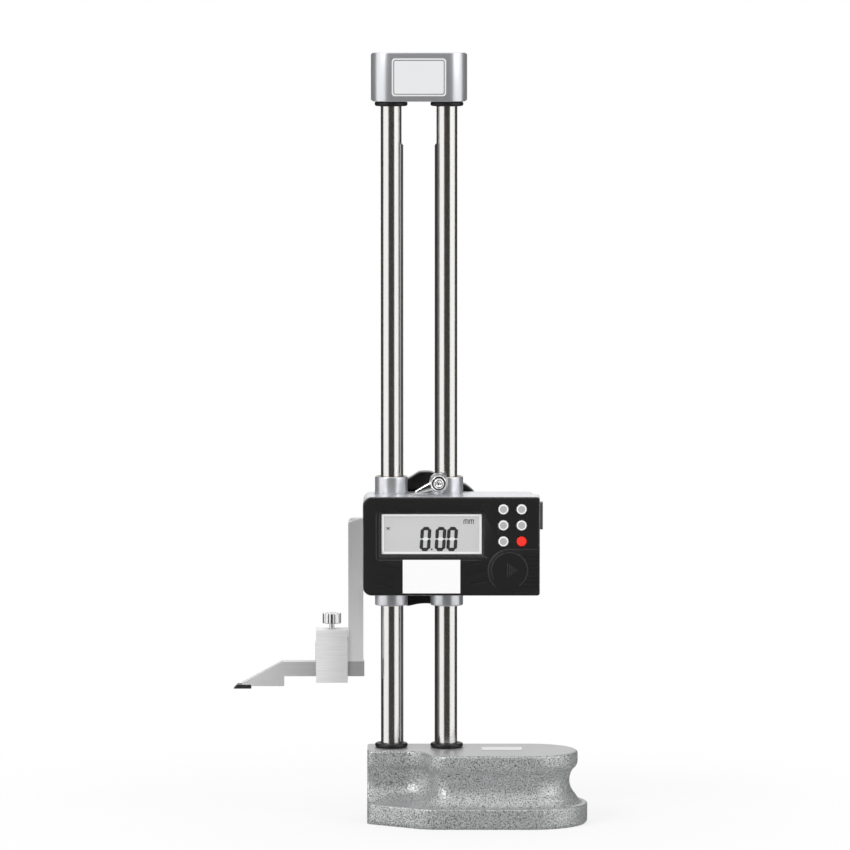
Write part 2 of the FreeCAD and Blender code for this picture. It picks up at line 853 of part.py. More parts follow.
def column(label, side):
    """Hard ground column with a groove for its toothed strip on the inner side."""
    body = piece(label, (column_x * side, 0.0, 0.0))
    bevel = d.column_chamfer
    turned(body, [
        (0.0, column_foot, 0), (column_radius - bevel, column_foot, 0),
        (column_radius, column_foot + bevel, 0), (column_radius, column_head - bevel, 0),
        (column_radius - bevel, column_head, 0), (0.0, column_head, 0)])
    pocket(body, "z", column_foot, column_foot + d.bolt_reach + bevel,
           lambda s: s.circle(0.0, 0.0, d.bolt_diameter / 2 + d.fixed_gap))
    half = d.strip_width / 2 + d.fixed_gap
    floor = (d.strip_back - d.fixed_gap) * -side
    outside = (column_radius + bevel) * -side
    pocket(body, "z", strip_foot - d.fixed_gap, d.strip_top + d.fixed_gap,
           lambda s: s.box(floor, -half, outside, half))


def toothed_strip(label, side, gear_height):
    """Rack let into a column behind a smooth front rim, with a tooth space level with its gear at rest."""
    body = piece(label, (column_x * side, 0.0, 0.0))
    half = d.strip_width / 2
    facing = -side
    pad(body, "y", -half, half, lambda s: s.outline([
        (d.strip_back * facing, strip_foot, 0), (d.strip_tip * facing, strip_foot, 0),
        (d.strip_tip * facing, d.strip_top - d.strip_chamfer, 0),
        ((d.strip_tip - d.strip_chamfer) * facing, d.strip_top, 0),
        (d.strip_back * facing, d.strip_top, 0)]))
    below = math.floor((gear_height - strip_foot - d.strip_land) / tooth_pitch)
    first = gear_height - tooth_pitch * below
    room = d.strip_top - d.strip_chamfer - d.strip_land - first
    count = math.floor(room / tooth_pitch) + 1
    lean = math.tan(math.radians(d.tooth_angle))
    middle = tooth_pitch / 4 + d.tooth_play / 2
    over = d.tooth_height + d.tooth_play
    pitch_line = d.strip_tip - d.tooth_height
    wide = middle + over * lean
    narrow = middle - d.tooth_depth * lean
    space = pocket(body, "y", d.strip_rim - half, half, lambda s: s.outline([
        ((pitch_line + over) * facing, first - wide, 0),
        ((pitch_line + over) * facing, first + wide, 0),
        ((pitch_line - d.tooth_depth) * facing, first + narrow, 0),
        ((pitch_line - d.tooth_depth) * facing, first - narrow, 0)]))
    repeat(body, [space], [("z", tooth_pitch, count)])


def gear(label, place, teeth, bore, hub_radius, hub_length):
    """Spur gear with involute teeth, relieved at the root; one tooth points along +X."""
    body = piece(label, place, "y")
    radius = float(d.tooth_module) * float(teeth) / 2
    slope = math.radians(d.tooth_angle)
    base = radius * math.cos(slope)
    root = radius - float(d.tooth_depth)
    tip = radius + float(d.tooth_height)

    def half_angle(at):
        lean = math.acos(base / at)
        swing = (math.tan(slope) - slope) - (math.tan(lean) - lean)
        return math.pi / (2 * float(teeth)) - float(d.tooth_play) / (2 * radius) + swing

    flank = [(at, half_angle(at)) for at in (tip, (tip + radius) / 2, radius, base)]
    relief = half_angle(base) - float(d.tooth_undercut) / base
    flank += [(root, relief), (root - float(d.tooth_play), relief)]
    upper = [(at * math.cos(turn), at * math.sin(turn), 0) for at, turn in flank]
    lower = [(x, -y, 0) for x, y, sharp in reversed(upper)]
    back = d.strip_width / 2
    front = d.strip_rim + d.free_gap - back
    pad(body, "z", front, back, lambda s: s.circle(0.0, 0.0, root))
    tooth = pad(body, "z", front, back, lambda s: s.outline(upper + lower))
    around(body, tooth, int(teeth))
    pad(body, "z", back, back + hub_length, lambda s: s.circle(0.0, 0.0, hub_radius))
    pocket(body, "z", front, back + hub_length, lambda s: s.circle(0.0, 0.0, bore))


def column_bolts():
    """Socket bolts that draw the columns down into the base."""
    head_foot = d.bolt_recess_depth - d.bolt_head_height
    body = piece("column_bolts", (-column_x, 0.0, head_foot))
    shank = d.bolt_diameter / 2
    length = column_foot + d.bolt_reach - head_foot
    whole = turned(body, [
        (0.0, 0.0, 0), (d.bolt_head_diameter / 2, 0.0, 0),
        (d.bolt_head_diameter / 2, d.bolt_head_height, 0), (shank, d.bolt_head_height, 0),
        (shank, length, 0), (0.0, length, 0)])
    socket = pocket(body, "z", 0.0, d.bolt_socket_depth, lambda s: s.outline(hexagon(d.bolt_socket)))
    repeat(body, [whole, socket], [("x", d.column_spacing, 2)])


def hexagon(across):
    """Corners of a hexagonal socket from its width across the flats."""
    reach = across / math.sqrt(3)
    turns = [math.radians(60 * step) for step in range(6)]
    return [(reach * math.cos(turn), reach * math.sin(turn), 0) for turn in turns]


def top_bracket():
    """Bracket that ties the two column heads together."""
    body = piece("top_bracket")
    half = d.bracket_length / 2
    deep = d.bracket_depth / 2
    top = d.bracket_bottom + d.bracket_height
    pad(body, "z", d.bracket_bottom, top,
        lambda s: s.box(-half, -deep, half, deep, d.bracket_end_radius))
    soften(body, "Chamfer", d.bracket_bevel,
           lambda edge: level_edge(edge, "z", top) or level_edge(edge, "z", d.bracket_bottom))
    bore = column_radius + d.fixed_gap
    pocket(body, "z", d.bracket_bottom, column_head + d.fixed_gap,
           lambda s: s.circle(-column_x, 0.0, bore).circle(column_x, 0.0, bore))
    hole = d.bracket_screw_diameter / 2 + d.fixed_gap
    level = d.bracket_bottom + d.bracket_screw_height
    pocket(body, "y", 0.0, deep,
           lambda s: s.circle(-column_x, level, hole).circle(column_x, level, hole))


def bracket_screws():
    """Set screws that hold the bracket on the columns, driven in from behind."""
    level = d.bracket_bottom + d.bracket_screw_height
    body = piece("bracket_screws", (-column_x, 0.0, level), "y")
    radius = d.bracket_screw_diameter / 2
    tail = column_radius + d.running_gap
    head = d.bracket_depth / 2 - d.free_gap
    whole = turned(body, [(0.0, tail, 0), (radius, tail, 0), (radius, head, 0), (0.0, head, 0)])
    socket = pocket(body, "z", head - d.bracket_screw_socket, head,
                    lambda s: s.outline(hexagon(d.bracket_screw_socket)))
    repeat(body, [whole, socket], [("x", d.column_spacing, 2)])


def plates():
    """Bare plates on the bracket's front and on the table."""
    body = piece("bracket_plate", (0.0, -d.bracket_depth / 2, d.bracket_bottom + d.bracket_height / 2))
    wide = d.bracket_plate_width / 2
    tall = d.bracket_plate_height / 2
    pad(body, "y", -d.plate_thickness, 0.0,
        lambda s: s.box(-wide, -tall, wide, tall, d.bracket_plate_round))
    body = piece("base_plate", (d.base_plate_centre, -d.base_plate_depth, d.base_height))
    wide = d.base_plate_width / 2
    tall = d.base_plate_height / 2
    pad(body, "z", 0.0, d.plate_thickness, lambda s: s.box(-wide, -tall, wide, tall))


def bumper_rings():
    """Rubber rings at both ends of both columns, which stop the slider softly."""
    body = piece("bumper_rings", (-column_x, 0.0, d.base_height))
    inner = column_radius + d.running_gap
    outer = d.ring_diameter / 2
    flat = outer - d.ring_bevel
    ring = turned(body, [
        (inner, 0.0, 0), (flat, 0.0, 0), (outer, d.ring_bevel, 0),
        (outer, d.ring_thickness - d.ring_bevel, 0), (flat, d.ring_thickness, 0),
        (inner, d.ring_thickness, 0)])
    rise = d.bracket_bottom - d.ring_thickness - d.base_height
    repeat(body, [ring], [("x", d.column_spacing, 2), ("z", rise, 2)])


def slider_corners(grow, right, right_round, left_round):
    """Corners of the slider's outline seen from the front, grown outwards."""
    left = -(d.slider_left + grow)
    low = d.slider_bottom - grow
    high = slider_top + grow
    return [(left, low, left_round), (right, low, right_round),
            (right, high, right_round), (left, high, left_round)]


def tray_inside(gap):
    """Corners of the room inside the tray's wall, drawn in by a gap."""
    inset = d.tray_wall + gap
    left = tray_left + inset
    right = tray_right - inset
    low = tray_low + gap
    high = tray_high - gap
    turn = d.front_left_radius + d.tray_lip - inset
    return [(left, low, turn), (right, low, 0), (right, high, 0), (left, high, turn)]


def screw_places():
    """The four screws that hold the front on, as seen from the front."""
    low = d.slider_bottom + d.screw_post_rise
    high = slider_top - d.screw_post_rise
    return [(x, z) for x in (-post_left, post_right) for z in (low, high)]


def circles(places, radius):
    """Give a drawing of one circle at each place."""
    def draw(drawing):
        for x, y in places:
            drawing.circle(x, y, radius)
    return draw


def slider_body():
    """Cast slider: a block round the columns, four collars and a tray for the display."""
    body = piece("slider_body")
    block = [(tray_left, d.slider_bottom, d.block_radius), (block_right, d.slider_bottom, d.front_wall),
             (block_right, slider_top, d.front_wall), (tray_left, slider_top, d.block_radius)]
    pad(body, "y", -d.block_front, d.slider_back, lambda s: s.outline(block))
    rim = slider_corners(d.tray_lip, tray_right, d.front_right_radius + d.tray_lip,
                         d.front_left_radius + d.tray_lip)
    pad(body, "y", tray_front, -d.block_front, lambda s: s.outline(rim))
    both = [(-column_x, 0.0), (column_x, 0.0)]
    collar = d.collar_diameter / 2
    pad(body, "z", collar_foot, collar_top, circles(both, collar))
    soften(body, "Chamfer", d.collar_bevel,
           lambda edge: level_edge(edge, "z", collar_top) or level_edge(edge, "z", collar_foot))
    pad(body, "y", -d.clamp_boss_front, -d.clamp_offset,
        lambda s: s.circle(clamp_x, clamp_z, d.clamp_boss_diameter / 2))
    pocket(body, "y", tray_front, tray_back, lambda s: s.outline(tray_inside(0.0)))
    margin = d.light_room_margin
    room_left = column_x + d.bush_diameter / 2 + d.light_room_wall
    room_right = post_right - d.front_screw_head / 2 - d.free_gap - d.light_room_gap
    pocket(body, "y", tray_back, d.light_room_back,
           lambda s: s.box(room_left, d.slider_bottom + margin, room_right, slider_top - margin, margin))
    pocket(body, "z", collar_foot, collar_top + d.clamp_boss_diameter,
           circles(both, d.bush_diameter / 2 + d.fixed_gap))
    room = gear_room_half
    pocket(body, "y", -d.gear_room_front, d.slider_back,
           lambda s: s.box(-room, gear_room_low, room, gear_room_high))
    reach = column_x - d.column_diameter / 2
    pocket(body, "y", -d.gear_slot_half, d.gear_slot_half,
           lambda s: s.box(-reach, gear_room_low, reach, gear_room_high))
    bearing = d.feed_shaft_diameter / 2 + d.shaft_bush_wall + d.fixed_gap
    pocket(body, "y", -d.gear_room_front - d.front_bush_length, -d.gear_room_front,
           lambda s: s.circle(feed_x, feed_height, bearing))
    bearing = d.sensor_shaft_diameter / 2 + d.shaft_bush_wall + d.fixed_gap
    pocket(body, "y", tray_back, -d.gear_room_front,
           lambda s: s.circle(sensor_x, sensor_height, bearing))
    pocket(body, "y", -d.clamp_boss_front, -d.clamp_pad_back,
           lambda s: s.circle(clamp_x, clamp_z, d.clamp_bore / 2 + d.running_gap))
    pocket(body, "y", -d.block_front, d.slider_back,
           circles(screw_places(), d.front_screw_head / 2 + d.free_gap))
    pocket(body, "y", tray_back, -d.block_front,
           circles(screw_places(), d.front_screw_diameter / 2 + d.seat_gap))
    pocket(body, "y", d.slider_back - d.cover_screw_length, d.slider_back,
           circles(cover_screw_places(), d.cover_screw_diameter / 2 + d.fixed_gap))
    pocket(body, "x", tray_left, tray_left + d.jaw_screw_reach,
           circles(jaw_screws, d.jaw_screw_diameter / 2 + d.fixed_gap))
    front, back = port_open()
    pocket(body, "x", tray_right - d.tray_wall, tray_right,
           lambda s: s.box(front, port_open_low, back, port_open_high))


def port_open():
    """Front and back of the opening for the data port."""
    middle = -(d.port_front + d.port_back) / 2
    return middle - d.port_open_depth / 2, middle + d.port_open_depth / 2


def cover_screw_places():
    """The four screws of the plate behind the gears."""
    half = d.cover_screw_spread / 2
    low = gear_room_low - d.gear_cover_flange / 2
    high = gear_room_high + d.gear_cover_flange / 2
    return [(x, z) for x in (-half, half) for z in (low, high)]


def guide_bushes():
    """Four slotted bronze bushes that run on the columns, clear of the toothed strips."""
    shape = []
    ends = [collar_foot, collar_top - d.bush_length]
    inner = column_radius + d.running_gap
    for side in (-1, 1):
        for low in ends:
            tube = Part.makeCylinder(float(d.bush_diameter / 2), float(d.bush_length))
            tube = tube.cut(Part.makeCylinder(float(inner), float(d.bush_length)))
            slot = Part.makeBox(float(d.bush_diameter), float(d.bush_slot), float(d.bush_length),
                                Vector(0, -float(d.bush_slot / 2), 0))
            if side > 0:
                slot.rotate(Vector(0, 0, 0), Vector(0, 0, 1), 180)
            tube = tube.cut(slot)
            tube.translate(Vector(float(column_x * side), 0, float(low)))
            shape.append(tube)
    outside = Vector(float(clamp_x), -float(d.bush_diameter), float(clamp_z))
    way = Part.makeCylinder(float(d.clamp_bore / 2 + d.free_gap), float(d.bush_diameter), outside,
                            Vector(0, 1, 0))
    shape[-1] = shape[-1].cut(way)
    group = doc.addObject("Part::Feature", "guide_bushes")
    group.Label = "guide_bushes"
    group.Shape = Part.makeCompound(shape)
    made["guide_bushes"] = group


def dee(drawing, radius, right):
    """Draw the battery cover's outline: half a circle, open to a straight right side."""
    sketch = drawing.sketch
    x = float(cell_x)
    z = float(cell_z)
    reach = float(radius)
    circle = Part.Circle(Vector(x, z, 0), Vector(0, 0, 1), reach)
    arc = sketch.addGeometry(Part.ArcOfCircle(circle, math.pi / 2, math.pi * 1.5), False)
    points = [Vector(x, z - reach, 0), Vector(float(right), z - reach, 0),
              Vector(float(right), z + reach, 0), Vector(x, z + reach, 0)]
    runs = [sketch.addGeometry(Part.LineSegment(a, b), False) for a, b in zip(points, points[1:])]
    sketch.addConstraint([
        Sketcher.Constraint("Coincident", arc, 2, runs[0], 1),
        Sketcher.Constraint("Coincident", runs[0], 2, runs[1], 1),
        Sketcher.Constraint("Coincident", runs[1], 2, runs[2], 1),
        Sketcher.Constraint("Coincident", runs[2], 2, arc, 1),
        Sketcher.Constraint("Horizontal", runs[0]),
        Sketcher.Constraint("Horizontal", runs[2]),
    ])
    drawing.hold_point(arc, 3, cell_x, cell_z)
    drawing.hold("Radius", arc, amount=radius)
    drawing.hold("DistanceX", -1, 1, arc, 1, amount=cell_x)
    drawing.hold("DistanceX", -1, 1, arc, 2, amount=cell_x)
    drawing.hold("DistanceX", -1, 1, runs[0], 2, amount=right)
    drawing.hold("DistanceX", -1, 1, runs[2], 1, amount=right)


def button_places():
    """Name and place of each push button, in two columns of three."""
    middle = (button_low + button_high) / 2
    places = {}
    for column_word, x in (("left", button_left), ("right", button_right)):
        for row_word, z in (("lower", button_low), ("middle", middle), ("upper", button_high)):
            places["button_" + row_word + "_" + column_word] = (x, z)
    return places


def grooves(drawing):
    """Draw three slanting grooves on each side of the label."""
    slope = math.radians(d.groove_slope)
    pitch = (label_high - d.groove_drop - label_low - d.groove_foot) / 2
    left_start = -(d.label_left + d.groove_gap + d.groove_length)
    right_start = d.label_right + d.groove_gap
    for side, start in ((-1, left_start), (1, right_start)):
        for step in range(3):
            x = start + d.groove_shift * (side * step)
            z = label_high - d.groove_drop - pitch * step
            along = (d.groove_length * math.cos(slope), d.groove_length * math.sin(slope) * side)
            across = (d.groove_width * math.sin(slope) * -side, d.groove_width * math.cos(slope))
            drawing.outline([
                (x, z, 0), (x + along[0], z + along[1], 0),
                (x + along[0] + across[0], z + along[1] + across[1], 0),
                (x + across[0], z + across[1], 0)])


def screen_box(inset):
    """Corners of the screen's opening, drawn in by an amount."""
    return screen_left + inset, screen_low + inset, screen_right - inset, screen_high - inset


def front_housing():
    """Moulded front: screen opening, button holes, battery cup and screw posts."""
    body = piece("front_housing")
    plate = slider_corners(0.0, d.slider_right, d.front_right_radius, d.front_left_radius)
    pad(body, "y", -d.front_face, tray_front, lambda s: s.outline(plate))
    soften(body, "Chamfer", d.front_edge_bevel, lambda edge: level_edge(edge, "y", -d.front_face))

    def skirt(drawing):
        drawing.outline(tray_inside(d.seat_gap))
        drawing.outline(tray_inside(d.seat_gap + d.skirt_wall))

    pad(body, "y", tray_front, tray_front + d.skirt_depth, skirt)
    pad(body, "y", tray_front, tray_front + d.screw_post_length,
        circles(screw_places(), d.screw_post_diameter / 2))
    pad(body, "y", tray_front, cup_back + d.cup_floor,
        lambda s: s.circle(cell_x, cell_z, cell_hole + d.cup_wall))
    pocket(body, "y", tray_front, tray_front + d.screw_post_length,
           circles(screw_places(), d.front_screw_diameter / 2 + d.fixed_gap))
    pocket(body, "y", -d.front_face, screen_floor, lambda s: s.box(*screen_box(0.0), d.screen_round))
    pocket(body, "y", screen_floor, tray_front, lambda s: s.box(*screen_box(d.bezel_margin)))
    pocket(body, "y", -d.front_face, tray_front,
           circles(button_places().values(), d.button_diameter / 2 + d.free_gap))
    outside = d.slider_right + d.free_gap
    gap = d.cover_slide_gap
    pocket(body, "y", -d.front_face, cover_lip, lambda s: dee(s, d.cover_radius + gap, outside))
    pocket(body, "y", cover_lip, slot_back,
           lambda s: dee(s, d.cover_radius + d.cover_tongue + gap, outside))
    pocket(body, "y", cover_lip, cup_back, lambda s: s.circle(cell_x, cell_z, cell_hole))
    pocket(body, "y", -d.front_face, -d.front_face + d.groove_depth, grooves)
    notch = d.skirt_wall + d.seat_gap * 2
    pocket(body, "y", tray_front, tray_front + d.skirt_depth, lambda s: s.box(
        tray_right - d.tray_wall - notch, port_open_low - d.free_gap,
        tray_right - d.tray_wall, port_open_high + d.free_gap))


def display_parts():
    """Window, bezel, screen, contact strips, circuit board and key mat."""
    body = piece("screen_window")
    gap = d.seat_gap
    front = d.window_set_back - d.front_face
    pad(body, "y", front, front + d.window_thickness,
        lambda s: s.box(*screen_box(gap), d.screen_round - gap))
    body = piece("screen_bezel")
    edge = d.bezel_thickness
    inside = d.bezel_width

    def bezel(drawing):
        drawing.box(*screen_box(-edge))
        drawing.box(*screen_box(inside))

    panel_front = tray_front + d.bezel_thickness
    panel_back = panel_front + d.panel_thickness
    pad(body, "y", tray_front, panel_front, bezel)
    body = piece("screen_panel")
    pad(body, "y", panel_front, panel_back, lambda s: s.box(*screen_box(0.0)))
    body = piece("contact_strips")
    tall = d.contact_strip_height

    def strips(drawing):
        drawing.box(screen_left + inside, screen_low, screen_right - inside, screen_low + tall)
        drawing.box(screen_left + inside, screen_high - tall, screen_right - inside, screen_high)

    pad(body, "y", panel_back, -d.board_face, strips)
    body = piece("display_board")
    pad(body, "y", -d.board_face, -d.board_face + d.board_thickness, lambda s: s.box(
        board_left, board_low, board_right, board_high))
    body = piece("key_mat")
    margin = d.button_flange / 2 + d.keypad_margin
    pad(body, "y", -d.board_face - d.keypad_thickness, -d.board_face, lambda s: s.box(
        button_left - margin, button_low - margin, board_right, board_high))
    body = piece("front_label")
    pad(body, "y", -d.front_face - d.label_thickness, -d.front_face, lambda s: s.box(
        -d.label_left, label_low, d.label_right, label_high))


def buttons():
    """Six push buttons, each with a shallow dish and a flange behind the front."""
    for label, (x, z) in button_places().items():
        body = piece(label, (x, -d.front_face - d.button_height, z), "y")
        rim = d.button_diameter / 2
        flange = d.button_height + d.front_wall + d.seat_gap
        back = flange + d.button_flange_thickness
        dish = d.button_dish
        turned(body, [
            (0.0, dish, 0), (rim - d.button_rim - dish, dish, 0), (rim - d.button_rim, 0.0, 0),
            (rim, 0.0, 0), (rim, flange, 0), (d.button_flange / 2, flange, 0),
            (d.button_flange / 2, back, 0), (0.0, back, 0)])


def battery_parts():
    """Coin cell, its contact and the sliding cover with its grip ribs."""
    body = piece("coin_cell", (cell_x, cell_front, cell_z), "y")
    radius = d.cell_diameter / 2
    bevel = d.cell_bevel
    thick = d.cell_thickness
    turned(body, [
        (0.0, 0.0, 0), (radius - bevel, 0.0, 0), (radius, bevel, 0), (radius, thick - bevel, 0),
        (radius - bevel, thick, 0), (0.0, thick, 0)])
    body = piece("battery_contact", (cell_x, contact_front, cell_z), "y")
    pad(body, "z", 0.0, d.contact_thickness, lambda s: s.circle(0.0, 0.0, d.contact_diameter / 2))
    body = piece("battery_cover")
    right = d.slider_right
    pad(body, "y", -d.front_face, tongue_front, lambda s: dee(s, d.cover_radius, right))
    pad(body, "y", tongue_front, tongue_back,
        lambda s: dee(s, d.cover_radius + d.cover_tongue, right))
    rise = d.cover_disc_rise
    pad(body, "y", -d.front_face - rise, -d.front_face,
        lambda s: s.circle(cell_x, cell_z, d.cover_disc_radius))
    count = int(d.cover_rib_count)
    half = d.cover_rib_width / 2
    lowest = cell_z - d.cover_rib_pitch * ((count - 1) / 2)

    def ribs(drawing):
        for step in range(count):
            z = lowest + d.cover_rib_pitch * step
            off = abs(z - cell_z) - half
            disc = math.sqrt(max(float(d.cover_disc_radius + half) ** 2 - off ** 2, 0))
            start = max(cell_x + d.cover_rib_reach, cell_x + disc + float(half))
            drawing.box(start, z - half, right - d.cover_rib_margin, z + half)

    pad(body, "y", -d.front_face - rise, -d.front_face, ribs)


def port_parts():
    """Data port behind the right wall and the cover that plugs into it."""
    front, back = port_open()
    body = piece("data_port")
    gap = d.free_gap
    start = tray_right - d.tray_wall - gap - d.port_body_length
    pad(body, "x", start, start + d.port_body_length,
        lambda s: s.box(front + gap, port_open_low + gap, back - gap, port_open_high - gap))
    body = piece("port_cover")
    pad(body, "x", tray_right, tray_right + d.port_cover_thickness,
        lambda s: s.box(-d.port_front, port_low, -d.port_back, port_high, d.front_right_radius))
    pad(body, "x", tray_right - d.tray_wall, tray_right,
        lambda s: s.box(front + gap, port_open_low + gap, back - gap, port_open_high - gap))


def feed_parts():
    """Rear hand wheel, its shaft and screw, with the gear that climbs the right column."""
    shaft = d.feed_shaft_diameter / 2
    end = d.wheel_front + d.wheel_thickness - d.wheel_screw_rise
    nose = d.gear_room_front + d.front_bush_length - d.free_gap
    body = piece("feed_shaft", (feed_x, 0.0, feed_height), "y")
    turned(body, [(0.0, -nose, 0), (shaft, -nose, 0), (shaft, end, 0), (0.0, end, 0)])
    thread = d.wheel_screw_diameter / 2
    depth = d.wheel_screw_depth
    pocket(body, "z", end - depth, end, lambda s: s.circle(0.0, 0.0, thread + d.fixed_gap))
    gear("feed_gear", (feed_x, 0.0, feed_height), d.feed_teeth, shaft + d.fixed_gap,
         shaft + d.gear_hub_wall, d.gear_slot_half)
    body = piece("hand_wheel", (feed_x, d.wheel_front, feed_height), "y")
    thick = d.wheel_thickness
    pad(body, "z", 0.0, thick, lambda s: s.circle(0.0, 0.0, d.wheel_radius))
    far = d.wheel_radius - d.wheel_valley + d.wheel_scallop
    scallop = pocket(body, "z", 0.0, thick, lambda s: s.circle(0.0, far, d.wheel_scallop))
    around(body, scallop, int(d.wheel_lobes))
    soften(body, "Fillet", d.wheel_lobe_round, lambda edge: upright_edge(edge, "z"))
    soften(body, "Chamfer", d.wheel_bevel,
           lambda edge: level_edge(edge, "z", 0.0) or level_edge(edge, "z", thick))
    inner = d.wheel_radius - d.wheel_rim_width
    hub = d.wheel_hub_diameter / 2
    side = (thick - d.wheel_web) / 2
    pocket(body, "z", thick - side, thick, lambda s: s.circle(0.0, 0.0, inner).circle(0.0, 0.0, hub))
    pocket(body, "z", 0.0, side, lambda s: s.circle(0.0, 0.0, inner).circle(0.0, 0.0, hub))
    stub = d.slider_back + d.bearing_boss_length + d.free_gap - d.wheel_front
    pad(body, "z", stub, 0.0, lambda s: s.circle(0.0, 0.0, hub))
    pocket(body, "z", stub, thick - d.wheel_screw_rise, lambda s: s.circle(0.0, 0.0, shaft + d.fixed_gap))
    pocket(body, "z", thick - d.wheel_screw_rise, thick, lambda s: s.circle(0.0, 0.0, thread + d.running_gap))
    body = piece("wheel_screw", (feed_x, d.wheel_front + thick, feed_height), "y")
    head = d.wheel_screw_head / 2
    rise = d.wheel_screw_rise
    length = depth + rise - d.free_gap
    bevel = d.head_bevel
    turned(body, [
        (0.0, -length, 0), (thread, -length, 0), (thread, 0.0, 0), (head, 0.0, 0),
        (head, rise - bevel, 0), (head - bevel, rise, 0), (0.0, rise, 0)])
    pocket(body, "z", rise - d.head_socket_depth, rise, lambda s: s.outline(hexagon(d.head_socket)))


def sensor_parts():
    """Gear, shaft and disc that measure the travel, with the ring and board that read it."""
    shaft = d.sensor_shaft_diameter / 2
    front = d.rotor_lift + d.rotor_thickness + d.free_gap - tray_back
    back = d.slider_back + d.bearing_boss_length - d.free_gap
    body = piece("sensor_shaft", (sensor_x, 0.0, sensor_height), "y")
    turned(body, [(0.0, -front, 0), (shaft, -front, 0), (shaft, back, 0), (0.0, back, 0)])
    gear("sensor_gear", (sensor_x, 0.0, sensor_height), d.sensor_teeth, shaft + d.fixed_gap,
         shaft + d.gear_hub_wall, d.gear_slot_half)
    body = piece("sensor_disc", (sensor_x, tray_back, sensor_height), "y")
    near = -d.rotor_lift
    rim = d.rotor_diameter / 2
    hub = shaft + d.shaft_bush_wall
    bore = shaft + d.fixed_gap
    far = near - d.rotor_thickness
    turned(body, [(bore, far, 0), (rim, far, 0), (rim, near, 0), (hub, near, 0), (hub, -d.free_gap, 0),
                  (bore, -d.free_gap, 0)])
    body = piece("sensor_ring", (sensor_x, tray_back, sensor_height), "y")
    pad(body, "z", -d.sensor_ring_height, 0.0,
        lambda s: s.circle(0.0, 0.0, ring_outer).circle(0.0, 0.0, ring_inner))
    body = piece("sensor_board", (sensor_x, tray_back - d.sensor_ring_height, sensor_height), "y")
    pad(body, "z", -d.sensor_board_thickness, 0.0, lambda s: s.circle(0.0, 0.0, ring_outer))


def gear_cover():
    """Plate behind the gears with a bearing boss for each shaft."""
    body = piece("gear_cover")
    half = gear_room_half + d.gear_cover_overlap
    low = gear_room_low - d.gear_cover_flange
    high = gear_room_high + d.gear_cover_flange
    back = d.slider_back + d.gear_cover_thickness
    tip = d.slider_back + d.bearing_boss_length
    pad(body, "y", d.slider_back, back, lambda s: s.box(-half, low, half, high, d.gear_cover_round))
    feed = d.feed_shaft_diameter / 2 + d.shaft_bush_wall
    sensor = d.sensor_shaft_diameter / 2 + d.shaft_bush_wall
    wall = d.shaft_bush_wall
    pad(body, "y", back, tip, lambda s: s.circle(feed_x, feed_height, feed + wall))
    pad(body, "y", back, tip, lambda s: s.circle(sensor_x, sensor_height, sensor + wall))
    gap = d.fixed_gap
    pocket(body, "y", d.slider_back, tip, lambda s: s.circle(feed_x, feed_height, feed + gap))
    pocket(body, "y", d.slider_back, tip, lambda s: s.circle(sensor_x, sensor_height, sensor + gap))
    pocket(body, "y", d.slider_back, back,
           circles(cover_screw_places(), d.cover_screw_diameter / 2 + d.seat_gap))


def shaft_bushes():
    """Bronze bushes for the feed shaft and the sensor shaft, front and back."""
    shape = []
    spans = {
        (feed_x, feed_height, d.feed_shaft_diameter):
            [(-d.gear_room_front - d.front_bush_length, d.front_bush_length),
             (d.slider_back, d.bearing_boss_length)],
        (sensor_x, sensor_height, d.sensor_shaft_diameter):
            [(tray_back, -d.gear_room_front - tray_back), (d.slider_back, d.bearing_boss_length)],
    }
    for (x, z, diameter), places in spans.items():
        for low, length in places:
            start = Vector(float(x), float(low), float(z))
            outer = float(diameter / 2 + d.shaft_bush_wall)
            inner = float(diameter / 2 + d.running_gap)
            tube = Part.makeCylinder(outer, float(length), start, Vector(0, 1, 0))
            bore = Part.makeCylinder(inner, float(length), start, Vector(0, 1, 0))
            shape.append(tube.cut(bore))
    group = doc.addObject("Part::Feature", "shaft_bushes")
    group.Label = "shaft_bushes"
    group.Shape = Part.makeCompound(shape)
    made["shaft_bushes"] = group


